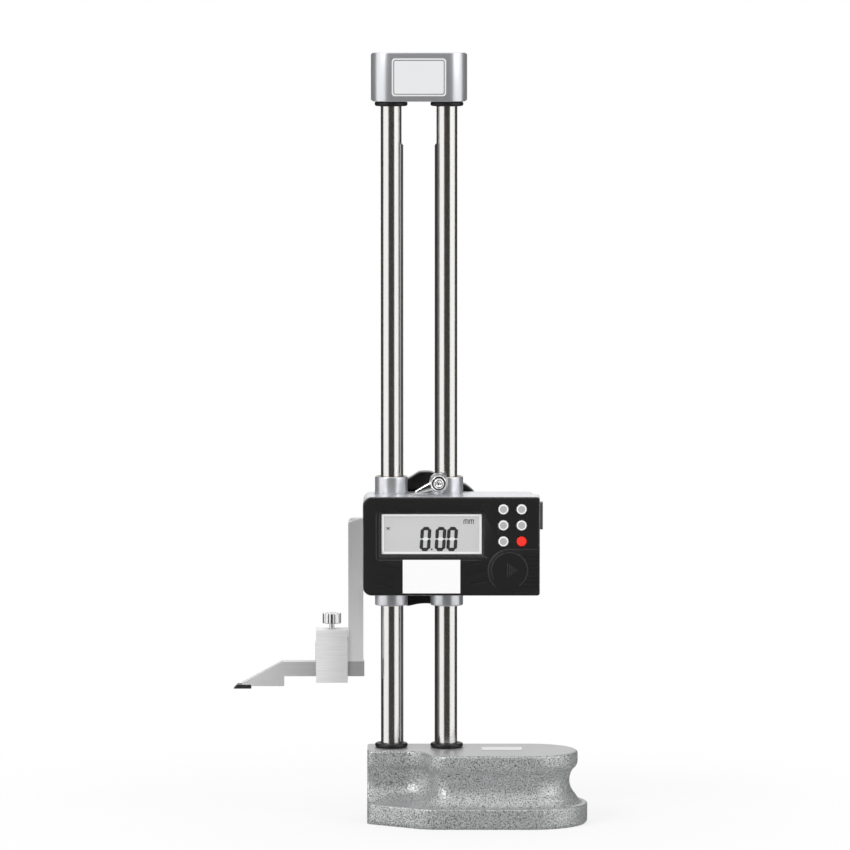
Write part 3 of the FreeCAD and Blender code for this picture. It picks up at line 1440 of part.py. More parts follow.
def slider_screws():
    """Screws of the front, of the plate behind the gears and of the measuring jaw."""
    high = slider_top - d.screw_post_rise
    body = piece("front_screws", (-post_left, -d.block_front, high), "y")
    shank = d.front_screw_diameter / 2
    head = d.front_screw_head / 2
    tall = d.front_screw_head_height
    reach = d.front_screw_reach
    whole = turned(body, [(0.0, -reach, 0), (shank, -reach, 0), (shank, 0.0, 0), (head, 0.0, 0),
                          (head, tall, 0), (0.0, tall, 0)])
    wide = post_left + post_right
    drop = d.slider_tall - d.screw_post_rise * 2
    repeat(body, [whole], [("x", wide, 2), ("y", drop, 2)])
    top = gear_room_high + d.gear_cover_flange / 2
    face = d.slider_back + d.gear_cover_thickness
    body = piece("cover_screws", (-d.cover_screw_spread / 2, face, top), "y")
    shank = d.cover_screw_diameter / 2
    head = d.cover_screw_head / 2
    reach = d.cover_screw_length + d.gear_cover_thickness - d.free_gap
    tall = d.cover_screw_head_height
    whole = turned(body, [(0.0, -reach, 0), (shank, -reach, 0), (shank, 0.0, 0), (head, 0.0, 0),
                          (head, tall, 0), (0.0, tall, 0)])
    drop = gear_room_high - gear_room_low + d.gear_cover_flange
    repeat(body, [whole], [("x", d.cover_screw_spread, 2), ("y", drop, 2)])
    start = jaw_left + d.jaw_screw_head_height
    body = piece("jaw_screws", (start, 0.0, jaw_screw_low + d.jaw_screw_pitch), "x")
    shank = d.jaw_screw_diameter / 2
    head = d.jaw_screw_head / 2
    tall = d.jaw_screw_head_height - d.free_gap
    reach = tray_left + d.jaw_screw_reach - start - d.free_gap
    whole = turned(body, [(0.0, -tall, 0), (head, -tall, 0), (head, 0.0, 0), (shank, 0.0, 0),
                          (shank, reach, 0), (0.0, reach, 0)])
    socket = pocket(body, "z", -tall, d.head_socket_depth - tall,
                    lambda s: s.outline(hexagon(d.head_socket)))
    repeat(body, [whole, socket], [("x", d.jaw_screw_pitch, 2)])


def clamp_parts():
    """Lever, its screw and the brass pad that hold the slider on the right column."""
    body = piece("clamp_pad", (clamp_x, 0.0, clamp_z))
    pad(body, "y", -d.clamp_pad_front, -d.clamp_pad_back, lambda s: s.circle(0.0, 0.0, d.clamp_bore / 2))
    seat = column_radius + d.seat_gap
    tall = d.clamp_bore
    pocket(body, "z", -tall, tall, lambda s: s.circle(d.clamp_offset, 0.0, seat))
    back = -d.clamp_boss_front - d.seat_gap
    front = back - d.lever_thickness
    body = piece("clamp_lever", (clamp_x, 0.0, clamp_z))
    pad(body, "y", front, back, lambda s: s.circle(0.0, 0.0, d.lever_hub_diameter / 2))
    length = math.hypot(d.lever_length, lever_drop)
    along = (-d.lever_length / length, -lever_drop / length)
    root = d.lever_root / 2
    tip = d.lever_tip
    turn = d.lever_tip_round
    level = d.lever_arm_inset
    arm = [
        (-along[1] * root, along[0] * root, 0),
        (-d.lever_length - along[1] * tip, -lever_drop + along[0] * tip, turn),
        (-d.lever_length + along[1] * tip, -lever_drop - along[0] * tip, turn),
        (along[1] * root, -along[0] * root, 0),
    ]
    pad(body, "y", front + level, back - level, lambda s: s.outline(arm))
    hole = d.clamp_bore / 2
    soften(body, "Chamfer", d.lever_hub_bevel, lambda edge: level_edge(edge, "y", front))
    pocket(body, "y", front, back, lambda s: s.circle(0.0, 0.0, hole + d.fixed_gap))
    body = piece("lever_screw", (clamp_x, front, clamp_z), "y")
    head = d.lever_head_diameter / 2
    rise = d.lever_head_height
    reach = -d.clamp_pad_front - front - d.seat_gap
    bevel = d.head_bevel
    turned(body, [(0.0, -rise, 0), (head - bevel, -rise, 0), (head, bevel - rise, 0), (head, 0.0, 0),
                  (hole, 0.0, 0), (hole, reach, 0), (0.0, reach, 0)])
    pocket(body, "z", -rise, d.head_socket_depth - rise, lambda s: s.outline(hexagon(d.head_socket)))


def jaw_parts():
    """Measuring jaw, scriber with its carbide tip, and the clamp that joins them."""
    body = piece("jaw_arm")
    half = d.jaw_depth / 2
    top = slider_top - d.jaw_drop
    end = frame_left - d.jaw_foot_lip
    pad(body, "y", -half, half, lambda s: s.outline([
        (tray_left, jaw_low, 0), (tray_left, top, 0), (jaw_left, top, d.jaw_corner),
        (jaw_left, jaw_foot, d.jaw_corner), (end, jaw_foot, 0), (end, jaw_low, 0)]))
    pocket(body, "x", jaw_left, tray_left, circles(jaw_screws, d.jaw_screw_diameter / 2 + d.seat_gap))
    pocket(body, "x", jaw_left, jaw_left + d.jaw_screw_head_height,
           circles(jaw_screws, d.jaw_screw_head / 2 + d.seat_gap))
    body = piece("scriber")
    top = jaw_low - d.seat_gap
    low = top - d.scriber_height
    nose = low - d.scriber_nose_drop
    lip = nose + d.scriber_nose_lip
    tail = tray_left + d.scriber_tail
    bend = tail - d.scriber_shank
    step = bend + d.scriber_step
    seat = bend - d.scriber_slope
    end = seat - d.scriber_nose
    pad(body, "y", -half, half, lambda s: s.outline([
        (tail, low, 0), (tail, top, 0), (bend, top, 0), (end, lip + d.scriber_nose_lip, 0),
        (end, lip, 0), (seat, lip, 0), (seat, nose, 0), (step, nose, 0), (step, low, 0)]))
    body = piece("carbide_tip")
    low_edge = lip - d.carbide_height
    point = end - d.carbide_point
    pad(body, "y", -half, half, lambda s: s.outline([
        (seat, lip, 0), (seat, low_edge, 0), (point, low_edge, 0), (point + d.carbide_height, lip, 0)]))
    body = piece("scriber_clamp")
    inner = half + d.seat_gap
    outer = inner + d.clamp_frame_wall
    floor = low - d.seat_gap
    pad(body, "x", frame_left, frame_right,
        lambda s: s.box(-outer, floor - d.clamp_frame_floor, outer, frame_top, d.clamp_frame_round))
    pocket(body, "x", frame_left, frame_right, lambda s: s.box(-inner, floor, inner, frame_roof))
    middle = (frame_left + frame_right) / 2
    screw = d.thumb_screw_diameter / 2
    pocket(body, "z", frame_roof, frame_top, lambda s: s.circle(middle, 0.0, screw + d.running_gap))
    pad_low = jaw_foot + d.free_gap
    pad_top = pad_low + d.pad_thickness
    body = piece("pressure_pad", (middle, 0.0, pad_low))
    wide = d.pad_width / 2
    deep = half - d.free_gap
    pad(body, "z", 0.0, d.pad_thickness, lambda s: s.box(-wide, -deep, wide, deep))
    knob = frame_top + d.thumb_rise
    body = piece("clamp_screw", (middle, 0.0, knob))
    stem = pad_top + d.seat_gap - knob
    radius = d.thumb_diameter / 2
    bevel = d.thumb_bevel
    turned(body, [
        (0.0, stem, 0), (screw, stem, 0), (screw, 0.0, 0), (radius - bevel, 0.0, 0), (radius, bevel, 0),
        (radius, d.thumb_height - bevel, 0), (radius - bevel, d.thumb_height, 0), (0.0, d.thumb_height, 0)])
    flute = pocket(body, "z", 0.0, d.thumb_height,
                   lambda s: s.circle(radius + d.thumb_flute_offset, 0.0, d.thumb_flute_radius))
    around(body, flute, int(d.thumb_flutes))


base_casting()
column("left_column", -1)
column("right_column", 1)
toothed_strip("measuring_rack", -1, sensor_height)
toothed_strip("feed_rack", 1, feed_height)
column_bolts()
top_bracket()
bracket_screws()
plates()
bumper_rings()
slider_body()
guide_bushes()
front_housing()
display_parts()
buttons()
battery_parts()
port_parts()
feed_parts()
sensor_parts()
gear_cover()
shaft_bushes()
slider_screws()
clamp_parts()
jaw_parts()
doc.recompute()

faults = [
    thing.Name + " " + " ".join(thing.State)
    for thing in doc.Objects
    if "Invalid" in thing.State or "Error" in thing.State
]
for label, thing in made.items():
    if thing.Shape.isNull() or not thing.Shape.isValid() or not thing.Shape.Solids:
        faults.append(label + " has no valid shape")
for thing in doc.Objects:
    if thing.TypeId in ("PartDesign::Pocket", "PartDesign::SubtractivePipe"):
        if thing.BaseFeature is not None and thing.Shape.Volume > thing.BaseFeature.Shape.Volume - 0.001:
            faults.append(thing.Name + " cuts nothing")
if faults:
    raise RuntimeError("; ".join(faults))
for label, thing in made.items():
    thing.Shape.exportStep("parts/" + label + ".step")
    print(label, len(thing.Shape.Solids), round(thing.Shape.Volume, 1))
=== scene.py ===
# %% [markdown]
# A digital height gauge stands on a surface plate and reads how high its scriber is. This file dresses
# the solid model of one: it loads the solids, keeps them where they are, gives each a finish, and makes
# new surfaces only where a ground, moulded or polished form needs more care than a plain solid has.
# All sizes are in metres once they reach a mesh, and in millimetres where they are written.

# %% Load the frame
import json
import math

import bmesh
import bpy
import numpy as np
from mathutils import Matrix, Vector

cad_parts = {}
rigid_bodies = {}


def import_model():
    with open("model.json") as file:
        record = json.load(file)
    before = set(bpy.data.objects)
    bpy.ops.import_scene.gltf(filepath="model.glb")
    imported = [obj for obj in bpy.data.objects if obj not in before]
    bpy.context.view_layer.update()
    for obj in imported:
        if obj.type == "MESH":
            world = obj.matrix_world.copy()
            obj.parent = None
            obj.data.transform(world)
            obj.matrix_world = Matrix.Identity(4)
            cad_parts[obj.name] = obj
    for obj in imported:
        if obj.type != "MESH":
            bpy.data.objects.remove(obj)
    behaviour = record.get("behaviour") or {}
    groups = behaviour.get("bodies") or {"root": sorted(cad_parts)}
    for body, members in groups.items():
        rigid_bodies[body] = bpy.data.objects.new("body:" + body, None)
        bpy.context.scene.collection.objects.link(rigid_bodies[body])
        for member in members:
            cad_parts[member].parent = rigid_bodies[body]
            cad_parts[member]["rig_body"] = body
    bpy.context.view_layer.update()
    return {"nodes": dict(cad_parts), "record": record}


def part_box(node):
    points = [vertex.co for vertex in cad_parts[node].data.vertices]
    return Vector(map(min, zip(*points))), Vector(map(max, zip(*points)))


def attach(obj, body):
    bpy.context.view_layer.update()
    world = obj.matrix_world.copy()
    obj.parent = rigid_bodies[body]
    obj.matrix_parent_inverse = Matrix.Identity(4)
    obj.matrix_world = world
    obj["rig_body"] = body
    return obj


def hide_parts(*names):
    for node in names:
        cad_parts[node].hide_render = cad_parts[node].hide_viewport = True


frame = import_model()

MM = 0.001
COLUMN_X = 17.2
nodes = frame["nodes"]
slot_of = {row["node"]: row["material_slot"] for row in frame["record"]["subparts"]}


def placed(name, data):
    """Put a mesh, a lamp or a camera in the scene."""
    made = bpy.data.objects.new(name, data)
    bpy.context.scene.collection.objects.link(made)
    return made


# %% [markdown]
# The photograph was taken from far away with a long lens, so upright lines stay upright and the base shows
# only a little of its top. A camera can be matched by eye or worked out. Here its height, its distance and
# its tilt come from the places of the bracket, the slider and the base in the picture.

# %% Camera
CAMERA_PLACE = (3.7 * MM, -3690 * MM, 545 * MM)
CAMERA_TILT = 4.637
LENS = 253.2

camera_data = bpy.data.cameras.new("camera")
camera_data.sensor_width = 36
camera_data.lens = LENS
camera_data.clip_end = 100
camera = placed("camera", camera_data)
camera.location = CAMERA_PLACE
camera.rotation_euler = (math.radians(90 - CAMERA_TILT), 0, 0)
bpy.context.scene.camera = camera
bpy.context.scene.view_settings.view_transform = "Standard"
print("camera at", [round(part, 3) for part in camera.location])

# %% [markdown]
# A surface can be pushed and pulled by hand, or worked out as a formula. In this file each new surface is a
# grid of points with two parameters. One helper turns such a grid into a mesh, and closes it where the
# surface runs round into itself.

# %% Helpers for meshes
def join(*parts):
    """Points from their coordinates, each a number or an array."""
    return np.stack(np.broadcast_arrays(*parts), axis=-1)


def grid_faces(rows, columns, round_rows=False, round_columns=False, first=0):
    """Corner numbers of the quads of a grid: each point with its right, upper right and upper neighbour."""
    row = np.arange(rows if round_rows else rows - 1)[:, None]
    column = np.arange(columns if round_columns else columns - 1)[None, :]
    up, right = (row + 1) % rows, (column + 1) % columns
    row, up = row * columns, up * columns
    return join(row + column, row + right, up + right, up + column).reshape(-1, 4) + first


def cap(row, columns):
    """One face that closes a grid: all the points of a row."""
    return list(range(row * columns, (row + 1) * columns))


def new_mesh(name, points, faces, unit=1.0):
    """Mesh from points, measured in a unit, and the corner numbers of its faces."""
    mesh = bpy.data.meshes.new(name)
    points = np.asarray(points, float).reshape(-1, 3) * unit
    mesh.from_pydata(points.tolist(), [], [list(face) for face in faces])
    return mesh


def build(name, points, faces, sharp=30):
    """Make a mesh object from points in millimetres, with merged doubles and outward normals."""
    mesh = new_mesh(name, points, faces, MM)
    tidy(mesh, sharp)
    return placed(name, mesh)


def tidy(mesh, sharp, turn=True):
    """Merge the doubles of a mesh, turn its faces outwards and shade it smoothly below an angle."""
    work = bmesh.new()
    work.from_mesh(mesh)
    bmesh.ops.remove_doubles(work, verts=work.verts, dist=2e-6)
    bmesh.ops.dissolve_degenerate(work, edges=work.edges, dist=1e-7)
    if turn:
        bmesh.ops.recalc_face_normals(work, faces=work.faces)
    work.to_mesh(mesh)
    work.free()
    mesh.set_sharp_from_angle(angle=math.radians(sharp))


def gather(grids, round_rows=False, round_columns=False):
    """Points and faces of several grids, as one mesh."""
    points, faces, count = [], [], 0
    for grid in grids:
        faces.append(grid_faces(*grid.shape[:2], round_rows, round_columns, first=count))
        points.append(grid.reshape(-1, 3))
        count += len(points[-1])
    return np.concatenate(points), np.concatenate(faces)


def thin_plates(outlines, front, back):
    """Thin upright plates: each outline of level and upward places at two depths, with a wall between."""
    points, faces = [], []
    for outline in outlines:
        count, first = len(outline), len(points)
        for depth in (front, back):
            points += [(x, depth, z) for x, z in outline]
        rim = list(range(first, first + count))
        faces += [rim, [corner + count for corner in rim]]
        faces += grid_faces(2, count, round_columns=True, first=first).tolist()
    return points, faces


def spun(profile, steps=64, reach=None):
    """Turn a profile of radius and height about the Z axis. Reach scales the radius by angle."""
    turn = np.linspace(0, 2 * np.pi, steps, endpoint=False)
    radius, height = np.asarray(profile, float).T[:, :, None]
    scale = np.ones(steps) if reach is None else reach(turn)
    return join(radius * (np.cos(turn) * scale), radius * (np.sin(turn) * scale), height)


def along_y(points, place):
    """Lay a form that was made along Z so that its top faces the reader, and put it in its place."""
    x, y, z = np.moveaxis(points, -1, 0)
    return join(x, -z, y) + place


def curve(start, pull, end, steps, weight=1.0):
    """Curve from a start to an end, pulled towards a third point: the start's share falls as a square, the
    end's rises as a square, the pull's is between them times its weight, and all are over their sum."""
    along = np.linspace(0, 1, steps)[:, None]
    shares = (1 - along) ** 2, 2 * along * (1 - along) * weight, along ** 2
    return sum(share * np.asarray(spot) for share, spot in zip(shares, (start, pull, end))) / sum(shares)


def rounded(corners, radius, steps=5):
    """Round the inner corners of an open profile: each corner becomes a short curve between its two runs."""
    corners = np.asarray(corners, float)
    out = [corners[:1]]
    for before, here, after in zip(corners, corners[1:], corners[2:]):
        enter = here + (before - here) / np.linalg.norm(before - here) * radius
        leave = here + (after - here) / np.linalg.norm(after - here) * radius
        out.append(curve(enter, here, leave, steps))
    return np.concatenate(out + [corners[-1:]])


def place_of(node):
    """Lowest and highest corner of a solid, in millimetres."""
    low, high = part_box(node)
    return np.array(low) / MM, np.array(high) / MM


def middle_of(node):
    """Middle of a solid's box, in millimetres."""
    return sum(place_of(node)) / 2


print("helpers for grids, turned forms and rounded profiles are ready")

# %% [markdown]
# A studio lights polished metal by what the metal sees, not by lamps alone. Here the room is white, a dark
# wall stands in front of the gauge and two stand behind it, so each column shows dark, white, dark, white,
# dark. A gap straight behind lights the level faces, which reflect what is far behind them. The walls are
# there only for reflections. The plain light comes from the sky and two lamps. A helper builds the shader
# nodes: each is one call that sets its values and takes its links.

# %% Floor, walls and light
FLOOR_REACH = 1.6
WALL_DISTANCE = 1.5
WALL_HEIGHT = (-0.4, 1.7)
FRONT_WALL = (-31, 35)
REAR_WALLS = ((96, 164), (196, 266))
WALL_GLOW, GROUND_GLOW, WHITE = (0.045, 0.043, 0.04, 1), (0.24, 0.24, 0.25, 1), (1, 1, 1, 1)
FADE_START, FADE_END, FADE_LEAST = 0.12, 0.4, 0.72
SKY_LEVEL = 0.78
LAMP_DISTANCE, LAMP_LEVEL = 2.2, 0.2
LAMPS = (("left_lamp", -42, 35, 1.0, 14), ("right_lamp", 55, 25, 1.2, 6))


def plug(tree, value, socket):
    """Feed an input: a node gives its first working output, a socket is linked, anything else is a value."""
    if isinstance(value, bpy.types.Node):
        value = next(output for output in value.outputs if output.enabled)
    if isinstance(value, bpy.types.NodeSocket):
        tree.links.new(value, socket)
    else:
        socket.default_value = value


def node(tree, kind, inputs=(), **settings):
    """Add a shader node, set its properties, and feed its inputs by name or number."""
    made = tree.nodes.new("ShaderNode" + kind)
    made.location = (220 * (len(tree.nodes) % 6), -260 * (len(tree.nodes) // 6))
    for name, value in settings.items():
        setattr(made, name, value)
    for name, value in dict(inputs).items():
        plug(tree, value, made.inputs[name])
    return made


def calc(tree, operation, first, second, **settings):
    """Number worked out from two others."""
    return node(tree, "Math", {0: first, 1: second}, operation=operation, **settings)


def ramp(tree, value, start, stop, first=0.0, last=1.0, kind="LINEAR"):
    """Carry a value from the range between start and stop to the range between first and last."""
    return node(tree, "MapRange", {"Value": value, "From Min": start, "From Max": stop, "To Min": first,
                                   "To Max": last}, interpolation_type=kind)


def noise(tree, spot, scale, detail, rough=0.5):
    """Noise at a place: its scale, how many finer layers it has, and how strong they are."""
    return node(tree, "TexNoise", {"Vector": spot, "Scale": scale, "Detail": detail, "Roughness": rough})


def object_spot(tree):
    """Place of the shaded point in the object's own coordinates."""
    return node(tree, "TexCoord").outputs["Object"]


def empty_tree(owner):
    """Shader tree of a material or a world, without the nodes it starts with."""
    owner.use_nodes = True
    owner.node_tree.nodes.clear()
    return owner.node_tree


def stage_sheet(name, points, faces, paint, unseen):
    """A sheet of the studio, not of the gauge, with the kinds of ray that pass through it."""
    sheet = placed(name, new_mesh(name, points, faces))
    sheet.data.materials.append(paint)
    for ray in unseen:
        setattr(sheet, "visible_" + ray, False)


def glow(name, colour):
    """Paint that only glows, for sheets that show in reflections and nowhere else."""
    paint = bpy.data.materials.new(name)
    tree = empty_tree(paint)
    light = node(tree, "Emission", {"Color": colour, "Strength": 1.0})
    node(tree, "OutputMaterial", {"Surface": light})
    return paint


def level_square(name, height, paint, unseen):
    """Level square below the gauge."""
    corners = [(x * FLOOR_REACH, y * FLOOR_REACH, height) for x, y in ((-1, -1), (1, -1), (1, 1), (-1, 1))]
    stage_sheet(name, corners, [(0, 1, 2, 3)], paint, unseen)


def wall(name, sweep, paint, unseen, steps=24):
    """Upright wall round the gauge: a circle's arc between two bearings, raised between two levels."""
    bearing = np.radians(np.linspace(*sweep, steps))
    x, y = np.sin(bearing) * WALL_DISTANCE, -np.cos(bearing) * WALL_DISTANCE
    stage_sheet(name, join(x, y, np.array(WALL_HEIGHT)[:, None]), grid_faces(2, steps), paint, unseen)


MIRRORED_ONLY = ("camera", "diffuse", "shadow", "transmission")
for sweep in (FRONT_WALL, *REAR_WALLS):
    wall("dark_wall", sweep, glow("wall_glow", WALL_GLOW), MIRRORED_ONLY)
level_square("dark_ground", WALL_HEIGHT[0], glow("ground_glow", GROUND_GLOW), MIRRORED_ONLY)

floor_paint = bpy.data.materials.new("pale_floor")
tree = empty_tree(floor_paint)
far = node(tree, "VectorMath", {0: object_spot(tree)}, operation="LENGTH")
fade = ramp(tree, far, FADE_START, FADE_END, FADE_LEAST, kind="SMOOTHSTEP")
share = calc(tree, "MULTIPLY", fade, node(tree, "LightPath").outputs["Is Camera Ray"])
cloth = node(tree, "BsdfDiffuse", {"Color": (0.95, 0.95, 0.95, 1)})
white = node(tree, "Emission", {"Color": WHITE, "Strength": 1.0})
node(tree, "OutputMaterial", {"Surface": node(tree, "MixShader", {0: share, 1: cloth, 2: white})})
level_square("floor", 0, floor_paint, ["glossy"])

world = bpy.data.worlds.new("studio")
bpy.context.scene.world = world
tree = empty_tree(world)
rays = node(tree, "LightPath").outputs
either = calc(tree, "MAXIMUM", rays["Is Camera Ray"], rays["Is Glossy Ray"])
any_seen = calc(tree, "MAXIMUM", either, rays["Is Transmission Ray"])
sky, back = [node(tree, "Background", {"Color": WHITE, "Strength": level}) for level in (SKY_LEVEL, 1.0)]
node(tree, "OutputWorld", {"Surface": node(tree, "MixShader", {0: any_seen, 1: sky, 2: back})})

for name, bearing, rise, width, power in LAMPS:
    lamp_data = bpy.data.lights.new(name, "AREA")
    lamp_data.shape, lamp_data.size, lamp_data.energy = "SQUARE", width, power
    lamp = placed(name, lamp_data)
    turn, lift = math.radians(bearing), math.radians(rise)
    lamp.location = (math.sin(turn) * math.cos(lift) * LAMP_DISTANCE,
                     -math.cos(turn) * math.cos(lift) * LAMP_DISTANCE,
                     math.sin(lift) * LAMP_DISTANCE + LAMP_LEVEL)
    lamp.rotation_euler = (math.radians(90) - lift, 0, turn)
    lamp.visible_camera = False
    print(name, [round(part, 2) for part in lamp.location])

# %% [markdown]
# Real finishes are never one flat colour. Four effects are used again and again: a fine grain, lines left by
# a grinding wheel, uneven gloss from handling, and edges that are rounded and rubbed bright. Each is a
# group of shader nodes with its own inputs, built once and placed in every finish with other values.

# %% Shader groups
def new_group(name, inputs, outputs):
    """Start a shader group from the defaults of its inputs and the kinds of its outputs."""
    group = bpy.data.node_groups.new(name, "ShaderNodeTree")
    for label, default in inputs.items():
        kind = "NodeSocketFloat" if isinstance(default, float) else "NodeSocketVector"
        group.interface.new_socket(label, in_out="INPUT", socket_type=kind).default_value = default
    for label, kind in outputs.items():
        group.interface.new_socket(label, in_out="OUTPUT", socket_type="NodeSocket" + kind)
    return group, group.nodes.new("NodeGroupInput").outputs


def end_group(group, **results):
    """Close a shader group: each result feeds the output of its name."""
    end = group.nodes.new("NodeGroupOutput")
    end.location = (1400, 0)
    for label, value in results.items():
        plug(group, value, end.inputs[label])
    return group


def grain_group():
    """Height of a fine grain: two noises of different scale, added in equal parts."""
    group, given = new_group("fine_grain", {"Scale": 1500.0}, {"Height": "Float"})
    spot = object_spot(group)
    fine = noise(group, spot, given["Scale"], 2.0, 0.6)
    coarse = noise(group, spot, calc(group, "MULTIPLY", given["Scale"], 0.35), 1.0)
    return end_group(group, Height=calc(group, "ADD", fine, coarse))


def grinding_group():
    """Lines of a grinding wheel: noise that is squeezed across the lines and stretched along them."""
    group, given = new_group("grinding_lines", {"Squeeze": (60.0, 60.0, 6000.0), "Strength": 1.0},
                             {"Height": "Float", "Shade": "Float"})
    squeezed = node(group, "VectorMath", {0: object_spot(group), 1: given["Squeeze"]}, operation="MULTIPLY")
    lines = noise(group, squeezed, 1.0, 3.0, 0.65)
    shade = calc(group, "MULTIPLY", calc(group, "SUBTRACT", lines, 0.5), given["Strength"])
    return end_group(group, Height=lines, Shade=shade)


def handling_group():
    """Uneven gloss: soft patches of noise, spread about zero by an amount."""
    group, given = new_group("handling_marks", {"Scale": 60.0, "Amount": 0.08}, {"Change": "Float"})
    patches = noise(group, object_spot(group), given["Scale"], 3.0, 0.55)
    centred = calc(group, "SUBTRACT", patches, 0.5)
    return end_group(group, Change=calc(group, "MULTIPLY", centred, given["Amount"]))


def edge_group():
    """Rounded and rubbed edges: where a rounded normal leaves the true one, the mask rises."""
    group, given = new_group("rubbed_edges", {"Radius": 0.0003, "Rub": 1.0},
                             {"Normal": "Vector", "Mask": "Float"})
    true = node(group, "NewGeometry").outputs["Normal"]
    soft = node(group, "Bevel", {"Radius": given["Radius"]}, samples=4)
    match = node(group, "VectorMath", {0: soft, 1: true}, operation="DOT_PRODUCT")
    patches = noise(group, object_spot(group), 350.0, 3.0)
    both = calc(group, "MULTIPLY", ramp(group, match, 0.995, 0.9), ramp(group, patches, 0.4, 0.62))
    return end_group(group, Normal=soft, Mask=calc(group, "MULTIPLY", both, given["Rub"]))


GRAIN, GRINDING, HANDLING, EDGES = grain_group(), grinding_group(), handling_group(), edge_group()
print("shader groups:", [group.name for group in (GRAIN, GRINDING, HANDLING, EDGES)])

# %% [markdown]
# Most finishes here are the same few layers in other amounts: a body colour, a grain or grinding lines in
# its height, uneven gloss, and edges rubbed to a lighter colour. One function stacks them, so a finish is
# one line of a table. A casting, a key or a screen that needs more gets a material of its own below.

# %% One function for most finishes
def use(tree, group, **inputs):
    """Place a shader group in a material with its own values."""
    return node(tree, "Group", inputs, node_tree=group)


def blend(tree, share, first, second):
    """Mix two colours by a share."""
    return node(tree, "Mix", {"Factor": share, "A": first, "B": second}, data_type="RGBA")


def bump(tree, height, normal, distance, strength=1.0):
    """Normal of a surface whose height rises and falls by a distance in millimetres."""
    return node(tree, "Bump", {"Height": height, "Normal": normal, "Distance": distance * MM,
                               "Strength": strength})


def new_material(name):
    """Material with its shader tree and the inputs of its surface shader."""
    material = bpy.data.materials.new(name)
    material.use_nodes = True
    return material, material.node_tree, material.node_tree.nodes["Principled BSDF"].inputs


def rgba(colour, gain=1.0, lift=0.0):
    """Full colour from three parts or from one grey, made lighter by a gain and a lift."""
    parts = (colour,) * 3 if isinstance(colour, float) else colour
    return (*(min(1.0, part * gain + lift) for part in parts), 1)


def finish(name, colour, metal=0.0, gloss=0.4, grain=1500.0, height=0.05, lines=None, line_height=0.05,
           line_shade=0.0, uneven=0.08, rub=0.3, rubbed=None, edge=0.25):
    """Stack colour, grain, grinding lines, uneven gloss and rubbed edges into one material."""
    material, tree, skin = new_material(name)
    material.diffuse_color = rgba(colour)
    edges = use(tree, EDGES, Radius=edge * MM, Rub=rub).outputs
    lighter = rgba(rubbed) if rubbed else rgba(colour, 1.25, 0.03)
    body = blend(tree, edges["Mask"], rgba(colour), lighter)
    normal = bump(tree, use(tree, GRAIN, Scale=grain), edges["Normal"], height)
    if lines is not None:
        wheel = use(tree, GRINDING, Squeeze=lines, Strength=line_shade).outputs
        normal = bump(tree, wheel["Height"], normal, line_height)
        level = calc(tree, "ADD", 1.0, wheel["Shade"])
        body = node(tree, "VectorMath", {0: body, "Scale": level}, operation="SCALE")
    rough = calc(tree, "ADD", gloss, use(tree, HANDLING, Amount=uneven), use_clamp=True)
    skin["Metallic"].default_value = metal
    plug(tree, rough, skin["Roughness"])
    plug(tree, body, skin["Base Color"])
    plug(tree, normal, skin["Normal"])
    return material


def plain(name, colour, gloss, height=0.004):
    """Finish without rubbed edges, for small pieces."""
    return finish(name, colour, 0.0, gloss, height=height, rub=0.0)


UPRIGHT = (2500.0, 2500.0, 25.0)
ROUND = (40.0, 40.0, 3500.0)
PATCHES = (900.0, 900.0, 900.0)

finishes = {
    "ground_steel": finish("ground_chrome", (0.88, 0.87, 0.85), 1.0, 0.18, height=0.0001, lines=ROUND,
                           line_height=0.0001, line_shade=0.05, uneven=0.02, rub=0.0),
    "light_steel": finish("light_strip", (0.55, 0.55, 0.54), 1.0, 0.36, lines=UPRIGHT, line_height=0.003),
    "dark_steel": finish("dark_strip", (0.10, 0.095, 0.09), 0.8, 0.42, lines=UPRIGHT, line_height=0.003),
    "black_oxide": finish("black_oxide", (0.018, 0.018, 0.02), 0.6, 0.45, rub=0.5, rubbed=0.2),
    "silver_paint": finish("silver_paint", (0.80, 0.81, 0.84), 0.80, 0.30, grain=2600.0, height=0.003,
                           uneven=0.05, rub=0.2, rubbed=(0.86, 0.86, 0.87)),
    "bare_plate": finish("bare_plate", 0.80, 0.1, 0.35, height=0.004),
    "black_rubber": finish("black_rubber", 0.010, 0.0, 0.42, grain=900.0, height=0.012, rub=0.0),
    "bronze": finish("sintered_bronze", (0.25, 0.18, 0.11), 1.0, 0.38, grain=3000.0, height=0.01),
    "black_plastic": finish("grained_plastic", 0.009, 0.0, 0.46, grain=2200.0, height=0.02, rub=0.8,
                            rubbed=0.09, edge=0.35),
    "wheel_plastic": finish("wheel_moulding", 0.007, 0.0, 0.3, grain=700.0, height=0.01),
    "white_plastic": plain("white_moulding", 0.99, 0.5),
    "circuit_green": finish("board", (0.01, 0.06, 0.03), 0.0, 0.35, lines=PATCHES, line_shade=0.6,
                            height=0.01),
    "grey_rubber": finish("silicone", (0.10, 0.10, 0.105), 0.0, 0.55, grain=900.0),
    "label_white": plain("plain_label", 0.92, 0.42, 0.003),
    "cell_steel": finish("cell_can", (0.72, 0.72, 0.71), 1.0, 0.28, lines=ROUND, line_height=0.001),
    "machine_steel": finish("machined_steel", (0.52, 0.52, 0.51), 1.0, 0.3, lines=ROUND, line_height=0.002),
    "bright_chrome": finish("bright_chrome", 0.86, 1.0, 0.09, height=0.001, uneven=0.03, rub=0.0),
    "brass": finish("turned_brass", (0.66, 0.46, 0.16), 1.0, 0.28, lines=ROUND, line_height=0.002),
    "carbide": finish("carbide", (0.035, 0.035, 0.037), 0.3, 0.35, grain=4000.0, rub=0.2),
}
print(len(finishes), "finishes from the table")

